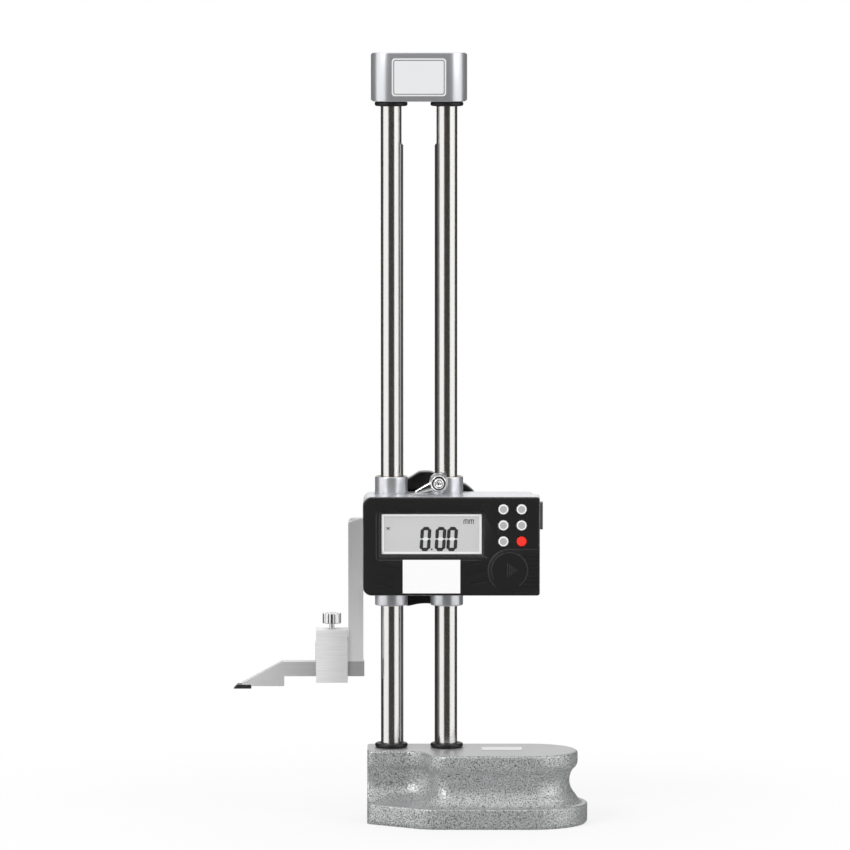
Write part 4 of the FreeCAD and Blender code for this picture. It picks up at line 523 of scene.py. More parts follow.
# %% [markdown]
# The jaw, the scriber and the clamp frame are ground tool steel. A grinding wheel leaves fine lines, and
# they come from the same group as the columns' lines. Each piece also grows from grey to nearly white along
# its length. That is a painted highlight: a share of the body colour worked out from the place on one axis,
# because what the studio mirrors in such small flat faces is too even to show it.

# %% Ground tool steel
ARM_LINES = (2600.0, 2600.0, 40.0)
SCRIBER_LINES = (40.0, 2600.0, 2600.0)


def painted_sheen(material, axis, start, stop, first, last):
    """Painted highlight along a piece: scale the body colour evenly between two places on an axis, from a
    first to a last strength.
    """
    tree = material.node_tree
    colour = tree.nodes["Principled BSDF"].inputs["Base Color"]
    along = node(tree, "SeparateXYZ", {0: object_spot(tree)}).outputs[axis]
    strength = ramp(tree, along, start * MM, stop * MM, first, last, "SMOOTHSTEP")
    body = colour.links[0].from_socket
    plug(tree, node(tree, "VectorMath", {0: body, "Scale": strength}, operation="SCALE"), colour)
    return material


# Painted highlight: the jaw, the scriber and the clamp frame are coloured lighter at one end and darker at
# the other.
arm_steel = painted_sheen(finish("ground_arm", 0.80, 0.55, 0.36, grain=3000.0, height=0.002, lines=ARM_LINES,
                         line_height=0.002, line_shade=0.08, rub=0.5, rubbed=0.95, edge=0.3),
                  "Z", 98.8, 187.8, 1.24, 0.86)
bar_steel = painted_sheen(finish("ground_bar", 0.78, 0.5, 0.34, grain=3000.0, height=0.002, lines=SCRIBER_LINES,
                         line_height=0.003, line_shade=0.22, rub=0.4, rubbed=0.9, edge=0.3),
                  "X", -110, -40, 1.15, 0.62)
frame_steel = painted_sheen(finish("brushed_frame", 0.92, 0.35, 0.38, lines=SCRIBER_LINES, line_height=0.006,
                           line_shade=0.42, rub=0.5, rubbed=0.97, edge=0.35), "X", -63.9, -44.3, 1.05, 0.82)
port_plastic = finish("port_plastic", 0.085, 0.0, 0.42, grain=2200.0, height=0.015, rubbed=0.2)
finishes["jaw_steel"] = bar_steel
own_finish = {"jaw_arm": arm_steel, "scriber_clamp": frame_steel, "port_cover": port_plastic}
print("tool steel in three grinding directions")

# %% [markdown]
# The base is cast iron under hammered grey paint: small pits and dark flecks on the sides, and a top that
# was filled and rubbed smooth before painting. One material does both, because the paint is one coat. The
# normal tells the two apart: where the surface faces straight up, the pits are left out and a darker grey
# is painted on as shade.

# %% Hammered paint
def hammered_paint():
    """Grey paint with pits from cell noise, flecks from a threshold on fine noise, and a smooth top whose
    darker grey is painted shade.
    """
    material, tree, skin = new_material("hammered_paint")
    spot = object_spot(tree)
    upward = node(tree, "SeparateXYZ", {0: node(tree, "NewGeometry").outputs["Normal"]}).outputs["Z"]
    top_share = ramp(tree, upward, 0.97, 0.995)
    side_share = calc(tree, "SUBTRACT", 1.0, top_share)
    dark = ramp(tree, noise(tree, spot, 1250.0, 3.0, 0.8), 0.46, 0.64)
    tone = blend(tree, noise(tree, spot, 70.0, 3.0), (0.58, 0.595, 0.595, 1), (0.68, 0.695, 0.695, 1))
    flecked = blend(tree, calc(tree, "MULTIPLY", dark, side_share), tone, (0.035, 0.037, 0.037, 1))
    pits = node(tree, "TexVoronoi", {"Vector": spot, "Scale": 620.0, "Randomness": 1.0})
    relief = calc(tree, "MULTIPLY", calc(tree, "ADD", pits, noise(tree, spot, 420.0, 3.0)), side_share)
    edges = use(tree, EDGES, Radius=0.5 * MM, Rub=0.0)
    skin["Metallic"].default_value = 0.42
    # Painted shade: faces that point straight up get a darker grey than the sides.
    plug(tree, blend(tree, top_share, flecked, (0.47, 0.47, 0.48, 1)), skin["Base Color"])
    plug(tree, bump(tree, relief, edges, 0.2, 0.9), skin["Normal"])
    plug(tree, calc(tree, "ADD", 0.36, use(tree, HANDLING, Amount=0.1)), skin["Roughness"])
    return material


finishes["hammered_iron"] = hammered_paint()
print("hammered paint is ready")

# %% [markdown]
# The screen is a grey liquid crystal behind a clear window. The panel is a matt grey sheet, and the window a
# thin clear one with a little gloss. A real refracting window would double every edge behind it, so the
# window is mostly see-through by its alpha, and keeps only its shine.

# %% Screen, window and keys
window = finish("clear_window", (0.6, 0.61, 0.61), 0.0, 0.1, height=0.0005, uneven=0.02, rub=0.0)
window.node_tree.nodes["Principled BSDF"].inputs["Alpha"].default_value = 0.02
window.surface_render_method = "BLENDED"
finishes["clear_window"] = window
finishes["screen_glass"] = finish("screen_grey", 0.60, 0.0, 0.5, grain=4000.0, height=0.002, rub=0.0)
# Painted highlight: the white of the keys' rim and sides stands in for light on the edge of grey keys.
finishes["button_white"] = plain("key_painted_highlight", 0.97, 0.35)
finishes["button_red"] = plain("key_red", (0.95, 0.025, 0.012), 0.33)
key_grey = plain("key_grey", 0.44, 0.4)
screen_ink = plain("screen_ink", 0.006, 0.5, 0.001)
screen_ghost = plain("screen_ghost", 0.80, 0.5, 0.001)
screen_faint = plain("screen_faint", 0.02, 0.5, 0.001)
print("screen, window and key finishes are ready")

# %% [markdown]
# Every solid now gets the finish that its record names. Solids with flat faces are shown as they are. Those
# with round faces are shown by a copy whose loose triangles are joined, so that a collar shades as one
# round surface. A weighted normal keeps the flats flat beside the rounds.

# %% Dress the solids
ROUND_SOLIDS = ("slider_body", "front_housing", "feed_gear", "sensor_gear", "gear_cover", "guide_bushes",
                "shaft_bushes", "lever_screw", "wheel_screw", "column_bolts", "bracket_screws", "jaw_screws",
                "feed_shaft", "sensor_shaft", "battery_cover", "sensor_disc", "sensor_ring", "coin_cell",
                "jaw_arm", "cover_screws", "front_screws", "clamp_pad")


def body_of(node_name):
    """Name of the moving body that carries a solid."""
    return nodes[node_name]["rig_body"]


def paint(piece, node_name):
    """Give a piece the finish of a solid."""
    piece.data.materials.clear()
    piece.data.materials.append(own_finish.get(node_name) or finishes[slot_of[node_name]])


def dress(piece, node_name):
    """Let a piece stand for a solid: it takes the solid's finish and body, and the solid is hidden."""
    paint(piece, node_name)
    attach(piece, body_of(node_name))
    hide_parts(node_name)


def stand_in(name, node_name, points, faces, sharp=30):
    """Make a piece that stands for a solid."""
    made = build(name, points, faces, sharp)
    dress(made, node_name)
    print(name, len(made.data.polygons), "faces")
    return made


def add(name, points, faces, carrier, material, sharp=30):
    """Make a piece that stands for no solid, but rides on one and has a finish of its own."""
    made = build(name, points, faces, sharp)
    made.data.materials.append(material)
    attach(made, body_of(carrier))


def joined_copy(node_name, sharp=34):
    """Copy of a solid with its triangles joined and its round faces shaded smoothly."""
    mesh = nodes[node_name].data.copy()
    mesh.name = node_name + "_skin"
    tidy(mesh, sharp, turn=False)
    copy = placed(node_name + "_skin", mesh)
    copy.modifiers.new("even_normals", "WEIGHTED_NORMAL").keep_sharp = True
    dress(copy, node_name)


for name, solid in nodes.items():
    paint(solid, name)
for name in ROUND_SOLIDS:
    joined_copy(name)
print(len(ROUND_SOLIDS), "solids are shown by joined copies")

# %% [markdown]
# The bracket is a block with round ends and nearly sharp edges. A bevelled copy of the solid shows a bright
# line along each edge, so the walls are drawn again as a grid: the plan's outline at a few levels, with the
# edge turned within half a millimetre at the front. Towards the back the edge blends into the solid's own
# bevel, and the back wall with its screw holes is taken from the solid.

# %% Bracket
bracket_low, bracket_high = place_of("top_bracket")
BRACKET_ROUND, BRACKET_EDGE, BRACKET_BEVEL = 12.2, 0.35, 1.2
BACK_START, BACK_END = 0.25, 9
TOP_STRIP, SLACK = 2.0, 0.05


def round_block(low, high, radius, inset, steps=24):
    """Plan of a block with round corners, drawn in by an inset: four quarter circles and straight runs."""
    x0, x1, y0, y1 = low[0] + inset, high[0] - inset, low[1] + inset, high[1] - inset
    quarter = np.linspace(0, np.pi / 2, steps)
    reach = radius - inset
    arcs = [join(cx + reach * np.cos(quarter + turn), cy + reach * np.sin(quarter + turn))
            for cx, cy, turn in ((x1 - reach, y1 - reach, 0), (x0 + reach, y1 - reach, np.pi / 2),
                                 (x0 + reach, y0 + reach, np.pi), (x1 - reach, y0 + reach, 1.5 * np.pi))]
    return np.concatenate(arcs)


def solid_triangles(node_name):
    """Corners and triangles of a solid, in millimetres."""
    mesh = nodes[node_name].data
    corner = np.empty(len(mesh.vertices) * 3)
    mesh.vertices.foreach_get("co", corner)
    triangle = np.empty(len(mesh.polygons) * 3, int)
    mesh.polygons.foreach_get("vertices", triangle)
    return corner.reshape(-1, 3) / MM, triangle.reshape(-1, 3)


foot, head = bracket_low[2], bracket_high[2]
sharp_edge = rounded([(TOP_STRIP, foot), (0.0, foot), (0.0, head), (TOP_STRIP, head)], BRACKET_EDGE, 4)
low_bevel = np.linspace((BRACKET_BEVEL, foot), (0, foot + BRACKET_BEVEL), 4)
high_bevel = np.linspace((0, head - BRACKET_BEVEL), (BRACKET_BEVEL, head), 4)
soft_edge = np.concatenate([[(TOP_STRIP, foot)], low_bevel, high_bevel, [(TOP_STRIP, head)]])
block = []
for (inset, level), (soft_inset, soft_level) in zip(sharp_edge, soft_edge):
    front = round_block(bracket_low, bracket_high, BRACKET_ROUND, inset)
    back = round_block(bracket_low, bracket_high, BRACKET_ROUND, soft_inset)
    share = np.clip((front[:, 1] + BACK_END) / BACK_END, 0, 1)[:, None]
    block.append(np.column_stack([front * (1 - share) + back * share,
                                  level * (1 - share) + soft_level * share]))
block = np.stack(block)
levels, around = block.shape[:2]
side_faces = grid_faces(levels, around, round_columns=True)
flat = block.reshape(-1, 3)[side_faces]
back_wall = (flat[:, :, 1].min(axis=1) > BACK_START) & (np.ptp(flat[:, :, 2], axis=1) > 10)
corner_of, triangle = solid_triangles("top_bracket")
spots = corner_of[triangle]
kept = spots[:, :, 1].min(axis=1) > BACK_START
kept &= spots[:, :, 2].min(axis=1) > foot + BRACKET_BEVEL - SLACK
kept &= spots[:, :, 2].max(axis=1) < head - BRACKET_BEVEL + SLACK
block_faces = side_faces[~back_wall].tolist() + [cap(0, around), cap(levels - 1, around)]
block_faces += (triangle[kept] + levels * around).tolist()
stand_in("cast_bracket", "top_bracket", np.concatenate([block.reshape(-1, 3), corner_of]), block_faces, 40)
print("faces from the solid's back:", int(kept.sum()))

# %% [markdown]
# The base is a casting whose flute runs round three sides. It could be sculpted, but it is one profile
# carried round a plan: each row of the grid is the whole outline at one level, drawn in or out by the
# profile, and every edge of the profile is soft as a casting's is. Below the flute the rows blend evenly
# into the outline of the foot, so the flute sweeps down to the foot's edge. The underside, with its relief
# and its bolt holes, is taken from the solid itself.

# %% Base
BASE_LEFT, TABLE_BACK, TABLE_RIGHT, TABLE_FRONT = -32.1, 17.4, 98.3, -43.4
TABLE_STEP = -18.0
TABLE_END, BEND, BEND_START, BEND_END = 29.6, 15.0, 1.0, 8.0
FOOT_BACK, FOOT_RIGHT, FOOT_FRONT, FOOT_END = 23.4, 104.3, -49.4, 35.6
SLANT_FRONT, SLANT_RIGHT, END_ROUND, END_LEAST = -24.5, 4.5, 4.0, 1.2
FLUTE_CENTRE, FLUTE_LEVEL, FLUTE_RADIUS = 7.5, 26.4, 12.6
LIP_ROUND, LIP_END, LIP_BEND, FLUTE_JOIN, FLUTE_TOP, FLUTE_END = 1.8, 38.4, 35.6, 33.6, 33.0, 17.6
BOLT_REACH, BOLT_TOP = 6.6, 14.9
RELIEF_LEFT, RELIEF_RIGHT, RELIEF_MIDDLE, RELIEF_HALF, RELIEF_TOP = 33.5, 90.5, -13, 23, 3.01
CORNER_STEPS = (8, 44, 44, 18, 18, 8)
RUN_STEPS = 6


def outline(corners):
    """Closed loop through round corners: each corner is a circle's arc from one straight run to the next,
    and each run is cut into even steps. A corner that doesn't turn is stretched along its run instead."""
    spots = np.array([corner[:2] for corner in corners], float)
    before = spots - np.roll(spots, 1, axis=0)
    after = np.roll(spots, -1, axis=0) - spots
    before /= np.linalg.norm(before, axis=1)[:, None]
    after /= np.linalg.norm(after, axis=1)[:, None]
    turn = np.arccos(np.clip((before * after).sum(axis=1), -1, 1))
    arcs = []
    for index, steps in enumerate(CORNER_STEPS):
        reach = corners[index][2] * (math.tan(turn[index] / 2) if turn[index] > 0.01 else 1.0)
        enter, leave = spots[index] - before[index] * reach, spots[index] + after[index] * reach
        arcs.append(curve(enter, spots[index], leave, steps, math.cos(turn[index] / 2)))
    loop = []
    for arc, following in zip(arcs, arcs[1:] + arcs[:1]):
        share = np.linspace(0, 1, RUN_STEPS + 2)[1:-1, None]
        loop += [arc, arc[-1] + (following[0] - arc[-1]) * share]
    return np.concatenate(loop)


def table_outline(grow, end_round=END_ROUND):
    """Outline of the table, drawn outwards by an amount except at its flat left end."""
    lean = math.tan(math.atan2(TABLE_STEP - TABLE_FRONT, BEND_END - BEND_START) / 2)
    back, right, front, step = TABLE_BACK + grow, TABLE_RIGHT + grow, TABLE_FRONT - grow, TABLE_STEP - grow
    return outline([
        (BASE_LEFT, back, end_round), (right, back, TABLE_END + grow), (right, front, TABLE_END + grow),
        (BEND_END - grow * lean, front, BEND + grow), (BEND_START - grow * lean, step, BEND - grow),
        (BASE_LEFT, step, end_round)])


def foot_outline(inset):
    """Outline of the foot, drawn inwards by an amount except at its flat left end."""
    back, right = FOOT_BACK - inset, FOOT_RIGHT - inset
    front, slant = FOOT_FRONT + inset, SLANT_FRONT + inset
    middle = ((BASE_LEFT + SLANT_RIGHT) / 2, (slant + front) / 2)
    return outline([
        (BASE_LEFT, back, 10.0 - inset), (right, back, FOOT_END - inset), (right, front, FOOT_END - inset),
        (SLANT_RIGHT, front, 30.0 - inset), (*middle, 3.0), (BASE_LEFT, slant, 6.0 - inset)])


def flute_reach(level):
    """How far the flute's arc lies inside the table's edge at a level: centre less the arc's half chord."""
    return FLUTE_CENTRE - math.sqrt(FLUTE_RADIUS ** 2 - (level - FLUTE_LEVEL) ** 2)


base_top = place_of("base_casting")[1][2]
quarter = np.linspace(0, np.pi / 2, 7)
lip_top = join(np.sin(quarter) - 1, np.cos(quarter) - 1) * LIP_ROUND + [0, base_top]
lip_turn = curve((0.0, LIP_END), (-0.1, LIP_BEND), (flute_reach(FLUTE_JOIN), FLUTE_JOIN), 7)
flute = np.array([[flute_reach(level), level] for level in np.linspace(FLUTE_TOP, FLUTE_END, 19)])
rows = [table_outline(-3.0)] + [table_outline(grow) for grow, level in lip_top]
levels = [base_top] + [level for grow, level in lip_top]
for grow, level in np.concatenate([lip_turn, flute]):
    softness = max(0.0, min(1.0, 1 + grow / 1.5))
    rows.append(table_outline(grow, END_LEAST + (END_ROUND - END_LEAST) * softness))
    levels.append(level)
foot_edge = rounded([(1.7, 13.0), (0.0, 12.2), (0.0, 1.4), (1.2, 0.0)], 0.8, 5)[1:]
foot_top = foot_outline(foot_edge[0][0])
for share in np.linspace(0, 1, 12)[1:-1]:
    rows.append(rows[len(lip_top) + len(lip_turn) + len(flute)] * (1 - share) + foot_top * share)
    levels.append(foot_edge[0][1] + (flute[-1][1] - foot_edge[0][1]) * (1 - share) ** 2.4)
rows += [foot_outline(inset) for inset, level in foot_edge]
levels += [level for inset, level in foot_edge]
columns = len(rows[0])
shell = np.concatenate([join(*row.T, level) for row, level in zip(rows, levels)])
shell_faces = grid_faces(len(rows), columns, round_columns=True).tolist() + [cap(0, columns)]

corner_of, triangle = solid_triangles("base_casting")
middle = corner_of[triangle].mean(axis=1)
highest = corner_of[triangle][:, :, 2].max(axis=1)
near_bolt = np.hypot(np.abs(middle[:, 0]) - COLUMN_X, middle[:, 1])
relief = (middle[:, 0] > RELIEF_LEFT) & (middle[:, 0] < RELIEF_RIGHT) & (highest < RELIEF_TOP)
relief &= np.abs(middle[:, 1] - RELIEF_MIDDLE) < RELIEF_HALF
below = (highest < 0.01) | ((near_bolt < BOLT_REACH) & (highest < BOLT_TOP)) | relief
base_faces = shell_faces + (triangle[below] + len(shell)).tolist()
stand_in("cast_base", "base_casting", np.concatenate([shell, corner_of]), base_faces, sharp=40)
print(len(rows), "rows of", columns, "points, with", int(below.sum()), "triangles of the underside")

# %% [markdown]
# The four collars of the slider are turned surfaces, and paint shows every facet in its bright bands. Each
# gets a thin sleeve that is a profile turned about its column, with a softly rounded rim.

# %% Collars
COLLAR_RADIUS, COLLAR_INNER, COLLAR_RIM = 10.13, 8.8, 0.7
slider_foot = place_of("slider_body")[0][2]
CAST_LOW, CAST_HIGH, COLLAR_TOP = 143.2, 203.4, 214.0
sleeves = []
for centre in (-COLUMN_X, COLUMN_X):
    for end, start in ((slider_foot, CAST_LOW + 0.5), (COLLAR_TOP, CAST_HIGH - 0.5)):
        profile = rounded([(COLLAR_INNER, end), (COLLAR_RADIUS, end), (COLLAR_RADIUS, start),
                           (COLLAR_INNER, start)], COLLAR_RIM, 5)
        sleeves.append(spun(profile, 96) + [centre, 0, 0])
add("collar_sleeves", *gather(sleeves, True, True), "slider_body", finishes["silver_paint"], sharp=50)
print("collars between", slider_foot.round(2), "and", COLLAR_TOP)

# %% [markdown]
# The hand wheel is moulded: a rim with nine shallow scallops for the fingers, a web and a hub. It is one
# profile turned about the axis, whose outer part is drawn in by the scallops. A scallop is a circle far out,
# seen from the axis, and a soft minimum joins it to the rim's own circle without a crease.

# %% Hand wheel
wheel_low, wheel_high = place_of("hand_wheel")
WHEEL_X, WHEEL_Z, WHEEL_RADIUS = 4.0, 172.2, 42.8
SCALLOP_DEPTH, SCALLOP_RADIUS, SCALLOPS = 3.1, 30.0, 9
RIM_INNER, HUB_RADIUS, WEB_DEPTH, STUB_END = 31.8, 11.0, 4.0, wheel_low[1]
WHEEL_FRONT, WHEEL_BACK = 18.0, wheel_high[1]
WHEEL_EDGE, WHEEL_STEPS, SOFTNESS, STILL_RADIUS = 1.2, 360, 0.45, 34


def rim_reach(turn):
    """Radius of the rim: soft minimum of the full circle and the scallop's circle, for each angle. The soft
    minimum is less the logarithm of the sum of both exponentials."""
    far = WHEEL_RADIUS - SCALLOP_DEPTH + SCALLOP_RADIUS
    step = 2 * np.pi / SCALLOPS
    off = (turn + np.pi / 2 + step / 2) % step - step / 2
    inside = np.clip(SCALLOP_RADIUS ** 2 - (far * np.sin(off)) ** 2, 0, None)
    bite = np.where(inside > 0, far * np.cos(off) - np.sqrt(inside), 2 * WHEEL_RADIUS)
    return -SOFTNESS * np.logaddexp(-WHEEL_RADIUS / SOFTNESS, -bite / SOFTNESS)


wheel_profile = rounded([
    (0, WHEEL_BACK), (HUB_RADIUS, WHEEL_BACK), (HUB_RADIUS, WHEEL_BACK - WEB_DEPTH),
    (RIM_INNER, WHEEL_BACK - WEB_DEPTH), (RIM_INNER, WHEEL_BACK), (WHEEL_RADIUS, WHEEL_BACK),
    (WHEEL_RADIUS, WHEEL_FRONT), (RIM_INNER, WHEEL_FRONT), (RIM_INNER, WHEEL_FRONT + WEB_DEPTH),
    (HUB_RADIUS, WHEEL_FRONT + WEB_DEPTH), (HUB_RADIUS, STUB_END), (0, STUB_END)], WHEEL_EDGE, 6)
angle = np.linspace(0, 2 * np.pi, WHEEL_STEPS, endpoint=False)
radius, depth = wheel_profile.T[:, :, None]
weight = np.clip((radius - STILL_RADIUS) / (WHEEL_RADIUS - WHEEL_EDGE - STILL_RADIUS), 0, 1)
radius = radius + weight * (rim_reach(angle) - WHEEL_RADIUS)
wheel_grid = join(WHEEL_X + radius * np.cos(angle), depth, WHEEL_Z + radius * np.sin(angle))
stand_in("moulded_wheel", "hand_wheel", *gather([wheel_grid], round_columns=True), sharp=50)

# %% [markdown]
# The columns are the brightest thing on the gauge: hard chromed bars, ground round and true. A plain
# cylinder would do but for the groove that holds the toothed strip. The bar is a section carried up the
# column, and the section changes from round to grooved where the strip begins and ends.

# %% Ground columns
COLUMN_STEPS, GROOVE_STEPS = 128, 7
COLUMN_BEVEL = 0.8


def column_surface(node_name, strip, side):
    """Circle points whose inner stretch is pulled back to the groove's floor, stacked level by level."""
    low, high = place_of(node_name)
    strip_low, strip_high = place_of(strip)
    centre = middle_of(node_name)[0]
    radius = (high[1] - low[1]) / 2
    half = (strip_high[1] - strip_low[1]) / 2 + 0.02
    floor_x = (min(abs(strip_low[0] - centre), abs(strip_high[0] - centre)) - 0.02) * side
    corner = math.asin(half / radius)
    turn = np.concatenate([np.linspace(corner, 2 * np.pi - corner, COLUMN_STEPS),
                           np.linspace(-corner, corner, GROOVE_STEPS)]) + (0 if side > 0 else np.pi)
    round_x, level_y = np.cos(turn) * radius, np.sin(turn) * radius
    groove_x = np.concatenate([round_x[:COLUMN_STEPS], np.full(GROOVE_STEPS, floor_x)])
    shrunk = (radius - COLUMN_BEVEL) / radius
    rows = [(low[2], shrunk, round_x), (low[2] + COLUMN_BEVEL, 1, round_x), (strip_low[2], 1, round_x),
            (strip_low[2], 1, groove_x), (strip_high[2], 1, groove_x), (strip_high[2], 1, round_x),
            (high[2] - COLUMN_BEVEL, 1, round_x), (high[2], shrunk, round_x)]
    surface = np.stack([join(x * scale + centre, level_y * scale, z) for z, scale, x in rows])
    points, faces = gather([surface], round_columns=True)
    return points, faces.tolist() + [cap(0, len(turn)), cap(len(rows) - 1, len(turn))]


for name, strip, side in (("left_column", "measuring_rack", 1), ("right_column", "feed_rack", -1)):
    stand_in(name + "_bar", name, *column_surface(name, strip, side))

# %% [markdown]
# Four rubber rings soften the ends of the travel. Each has a plump round section, fuller outside than where
# it hugs the column. The section is an oval turned once about the column.

# %% Rubber rings
def ring_section(inner, outer, low, high, power=2.6, steps=20):
    """Closed oval section: a circle whose sine and cosine are raised to a power that squares it off."""
    turn = np.linspace(0, 2 * np.pi, steps, endpoint=False)
    across = np.sign(np.cos(turn)) * np.abs(np.cos(turn)) ** (2 / power)
    up = np.sign(np.sin(turn)) * np.abs(np.sin(turn)) ** (2 / power)
    return join((inner + outer) / 2 + across * (outer - inner) / 2, (low + high) / 2 + up * (high - low) / 2)


ring_low, ring_high = place_of("bumper_rings")
ring_outer = (ring_high[1] - ring_low[1]) / 2
RING_INNER, RING_THICKNESS = 6.55, 3.0
surfaces = [spun(ring_section(RING_INNER, ring_outer, level, level + RING_THICKNESS), 72) + [x, 0, 0]
            for x in (-COLUMN_X, COLUMN_X) for level in (ring_low[2], ring_high[2] - RING_THICKNESS)]
stand_in("rubber_rings", "bumper_rings", *gather(surfaces, True, True), sharp=60)

# %% [markdown]
# The lever that locks the slider is a polished casting: a round hub with a tapered arm that swings down to
# the left. The hub is a turned profile. The arm is an oval section carried from the hub to the tip, smaller
# as it goes, and closed by a round end.

# %% Clamp lever
lever_low, lever_high = place_of("clamp_lever")
hub_x, _, hub_z = middle_of("lever_screw")
hub_radius = lever_high[0] - hub_x
hub_front, hub_back = lever_low[1], lever_high[1]
HUB_BORE, HUB_RIM = 2.55, 1.1
ARM_WIDTH, TIP_WIDTH, ARM_DEPTH, TIP_DEPTH, TIP_ROUND = 3.7, 0.95, 1.75, 0.85, 0.06


def lever_hub():
    """Ring with a rounded rim: a profile from the bore over the face and the rim to the back."""
    deep = hub_back - hub_front
    corners = [(HUB_BORE, 0), (hub_radius, 0), (hub_radius, deep), (HUB_BORE, deep)]
    surface = along_y(spun(rounded(corners, HUB_RIM, 8), 72), (hub_x, hub_back, hub_z))
    return gather([surface], True, True)


def lever_arm(steps=28, around=28):
    """Oval sections on a line from the hub to the tip, whose width falls evenly and then rounds off."""
    tip_x, tip_z = lever_low[0] + 0.8, lever_low[2] + 0.9
    share = np.linspace(0, 1, steps) ** 0.85
    fade = np.sqrt(np.clip(1 - ((share - 1 + TIP_ROUND) / TIP_ROUND).clip(0) ** 2, 0, 1))
    width = (ARM_WIDTH + (TIP_WIDTH - ARM_WIDTH) * share) * fade
    depth = (ARM_DEPTH + (TIP_DEPTH - ARM_DEPTH) * share) * fade
    turn = np.linspace(0, 2 * np.pi, around, endpoint=False)
    run = np.array([tip_x - hub_x, tip_z - hub_z])
    run /= np.linalg.norm(run)
    length = math.hypot(tip_x - hub_x, tip_z - hub_z) + 0.7
    x = hub_x + run[0] * (share * length)[:, None] - run[1] * width[:, None] * np.cos(turn)
    z = hub_z + run[1] * (share * length)[:, None] + run[0] * width[:, None] * np.cos(turn)
    y = (hub_front + hub_back) / 2 + depth[:, None] * np.sin(turn)
    points, faces = gather([join(x, y, z)[5:]], round_columns=True)
    return points, faces.tolist() + [cap(0, around)]


hub, hub_faces = lever_hub()
arm, arm_faces = lever_arm()
shifted = [[corner + len(hub) for corner in face] for face in arm_faces]
stand_in("polished_lever", "clamp_lever", np.concatenate([hub, arm]), hub_faces.tolist() + shifted, sharp=50)

# %% [markdown]
# A fluted screw holds the scriber in its frame. Its head has round flutes for the fingers, so its radius
# changes with the angle: ten times round, a bite is taken out of the circle. The profile gives the rounded
# rim and the neck, and the angle only scales it.

# %% Clamp screw
knob_low, knob_high = place_of("clamp_screw")
knob_radius = (knob_high[0] - knob_low[0]) / 2
KNOB_HEIGHT, KNOB_FLUTES, FLUTE_DEPTH, FLUTE_WIDTH = 6.4, 10, 0.13, 0.55
STEM_RADIUS, STEM_SUNK, DISH_RADIUS, DISH_FLOOR = 1.5, 0.4, 3.6, 0.5


def fluted(turn):
    """Share of the full radius at each angle: full on the ribs, less in the round flutes."""
    swing = np.abs(((turn * KNOB_FLUTES / (2 * np.pi) + 0.5) % 1) - 0.5) * 2
    return 1 - FLUTE_DEPTH * np.sqrt(np.clip(1 - (swing / FLUTE_WIDTH) ** 2, 0, 1))


stem_low, head_high = knob_low[2], knob_high[2]
head_low, dish = head_high - KNOB_HEIGHT, head_high - DISH_FLOOR
stem_high = head_low + STEM_SUNK
head = rounded([(0, head_low), (knob_radius, head_low), (knob_radius, head_high), (DISH_RADIUS, head_high),
                (DISH_RADIUS - 0.4, dish), (0, dish)], 0.45)
stem = rounded([(0, stem_low), (STEM_RADIUS, stem_low), (STEM_RADIUS, stem_high), (0, stem_high)], 0.2)
surfaces = [form + [middle_of("clamp_screw")[0], 0, 0] for form in (spun(head, 160, fluted), spun(stem, 48))]
stand_in("fluted_screw", "clamp_screw", *gather(surfaces, round_columns=True), sharp=40)

# %% [markdown]
# The six keys are turned forms with a soft rim and a shallow dish for the fingertip. Five are grey with a
# white rim and sides, a painted highlight, and one is red. The grey centre is a second material on the faces
# inside a small radius, so the line between the colours is sharp at any size.

# %% Keys
KEY_RADIUS = 3.05
KEY_CENTRE = 2.2
FLANGE_TOP = 0.7


def key_profile(flange, tall):
    """From the middle of the dish over the rim, down the side and out to the flange."""
    top = rounded([(0, tall - 0.22), (KEY_CENTRE, tall - 0.2), (KEY_RADIUS - 0.5, tall),
                   (KEY_RADIUS, tall - 0.35), (KEY_RADIUS, FLANGE_TOP)], 0.3, 6)
    return np.concatenate([top, [(flange, FLANGE_TOP), (flange, 0), (0, 0)]])


for name in sorted(name for name in nodes if name.startswith("button_")):
    low, high = place_of(name)
    x, _, z = middle_of(name)
    profile = key_profile((high[0] - low[0]) / 2, high[1] - low[1])
    surface = along_y(spun(profile, 48), (x, high[1], z))
    key = stand_in(name + "_key", name, *gather([surface], round_columns=True), sharp=40)
    # The white rim is a painted highlight, and the grey centre is the keys' own colour.
    if slot_of[name] == "button_white":
        key.data.materials.append(key_grey)
        centres = np.array([polygon.center for polygon in key.data.polygons]) / MM
        inside = np.hypot(centres[:, 0] - x, centres[:, 2] - z) < KEY_CENTRE
        inside &= centres[:, 1] < low[1] + 1
        key.data.polygons.foreach_set("material_index", inside.astype(int))

# %% [markdown]
# The digits of the screen are thin plates laid on the panel, just behind the window. Each digit has seven
# bars with pointed ends, all leaning to the right. The bars are worked out from the digit's width and
# height, and the bars that are off stay as pale ghosts, as a liquid crystal shows them.

# %% Digits
panel_face = place_of("screen_panel")[0][1]
DIGIT_WIDTH, DIGIT_HEIGHT, DIGIT_FOOT, DIGIT_LEFTS = 4.5, 12.9, 171.3, (1.35, 10.6, 17.75)
DOT_LEFT, DOT_FOOT, DOT_SIDE = 7.35, 170.9, 1.0
UNIT_FOOT, UNIT_TOP, UNIT_WIDTH, UNIT_LEFTS = 187.1, 189.6, 2.5, (26.6, 29.9)
CROSS_LEFT, CROSS_RIGHT, CROSS_FOOT, CROSS_TOP = -20.8, -18.9, 183.5, 185.1
BAR = 2.1
LEAN = math.tan(math.radians(3.5))
PLATE_BACK = 0.005


def bar_corners(start, end, gap=0.12):
    """Six corners of a bar with pointed ends between two points."""
    start, end = np.array(start, float), np.array(end, float)
    run = (end - start) / np.linalg.norm(end - start)
    across = np.array([-run[1], run[0]]) * BAR / 2
    start, end = start + run * gap, end - run * gap
    first, last = start + run * BAR / 3, end - run * BAR / 3
    return [start, first + across, last + across, end, last - across, first - across]


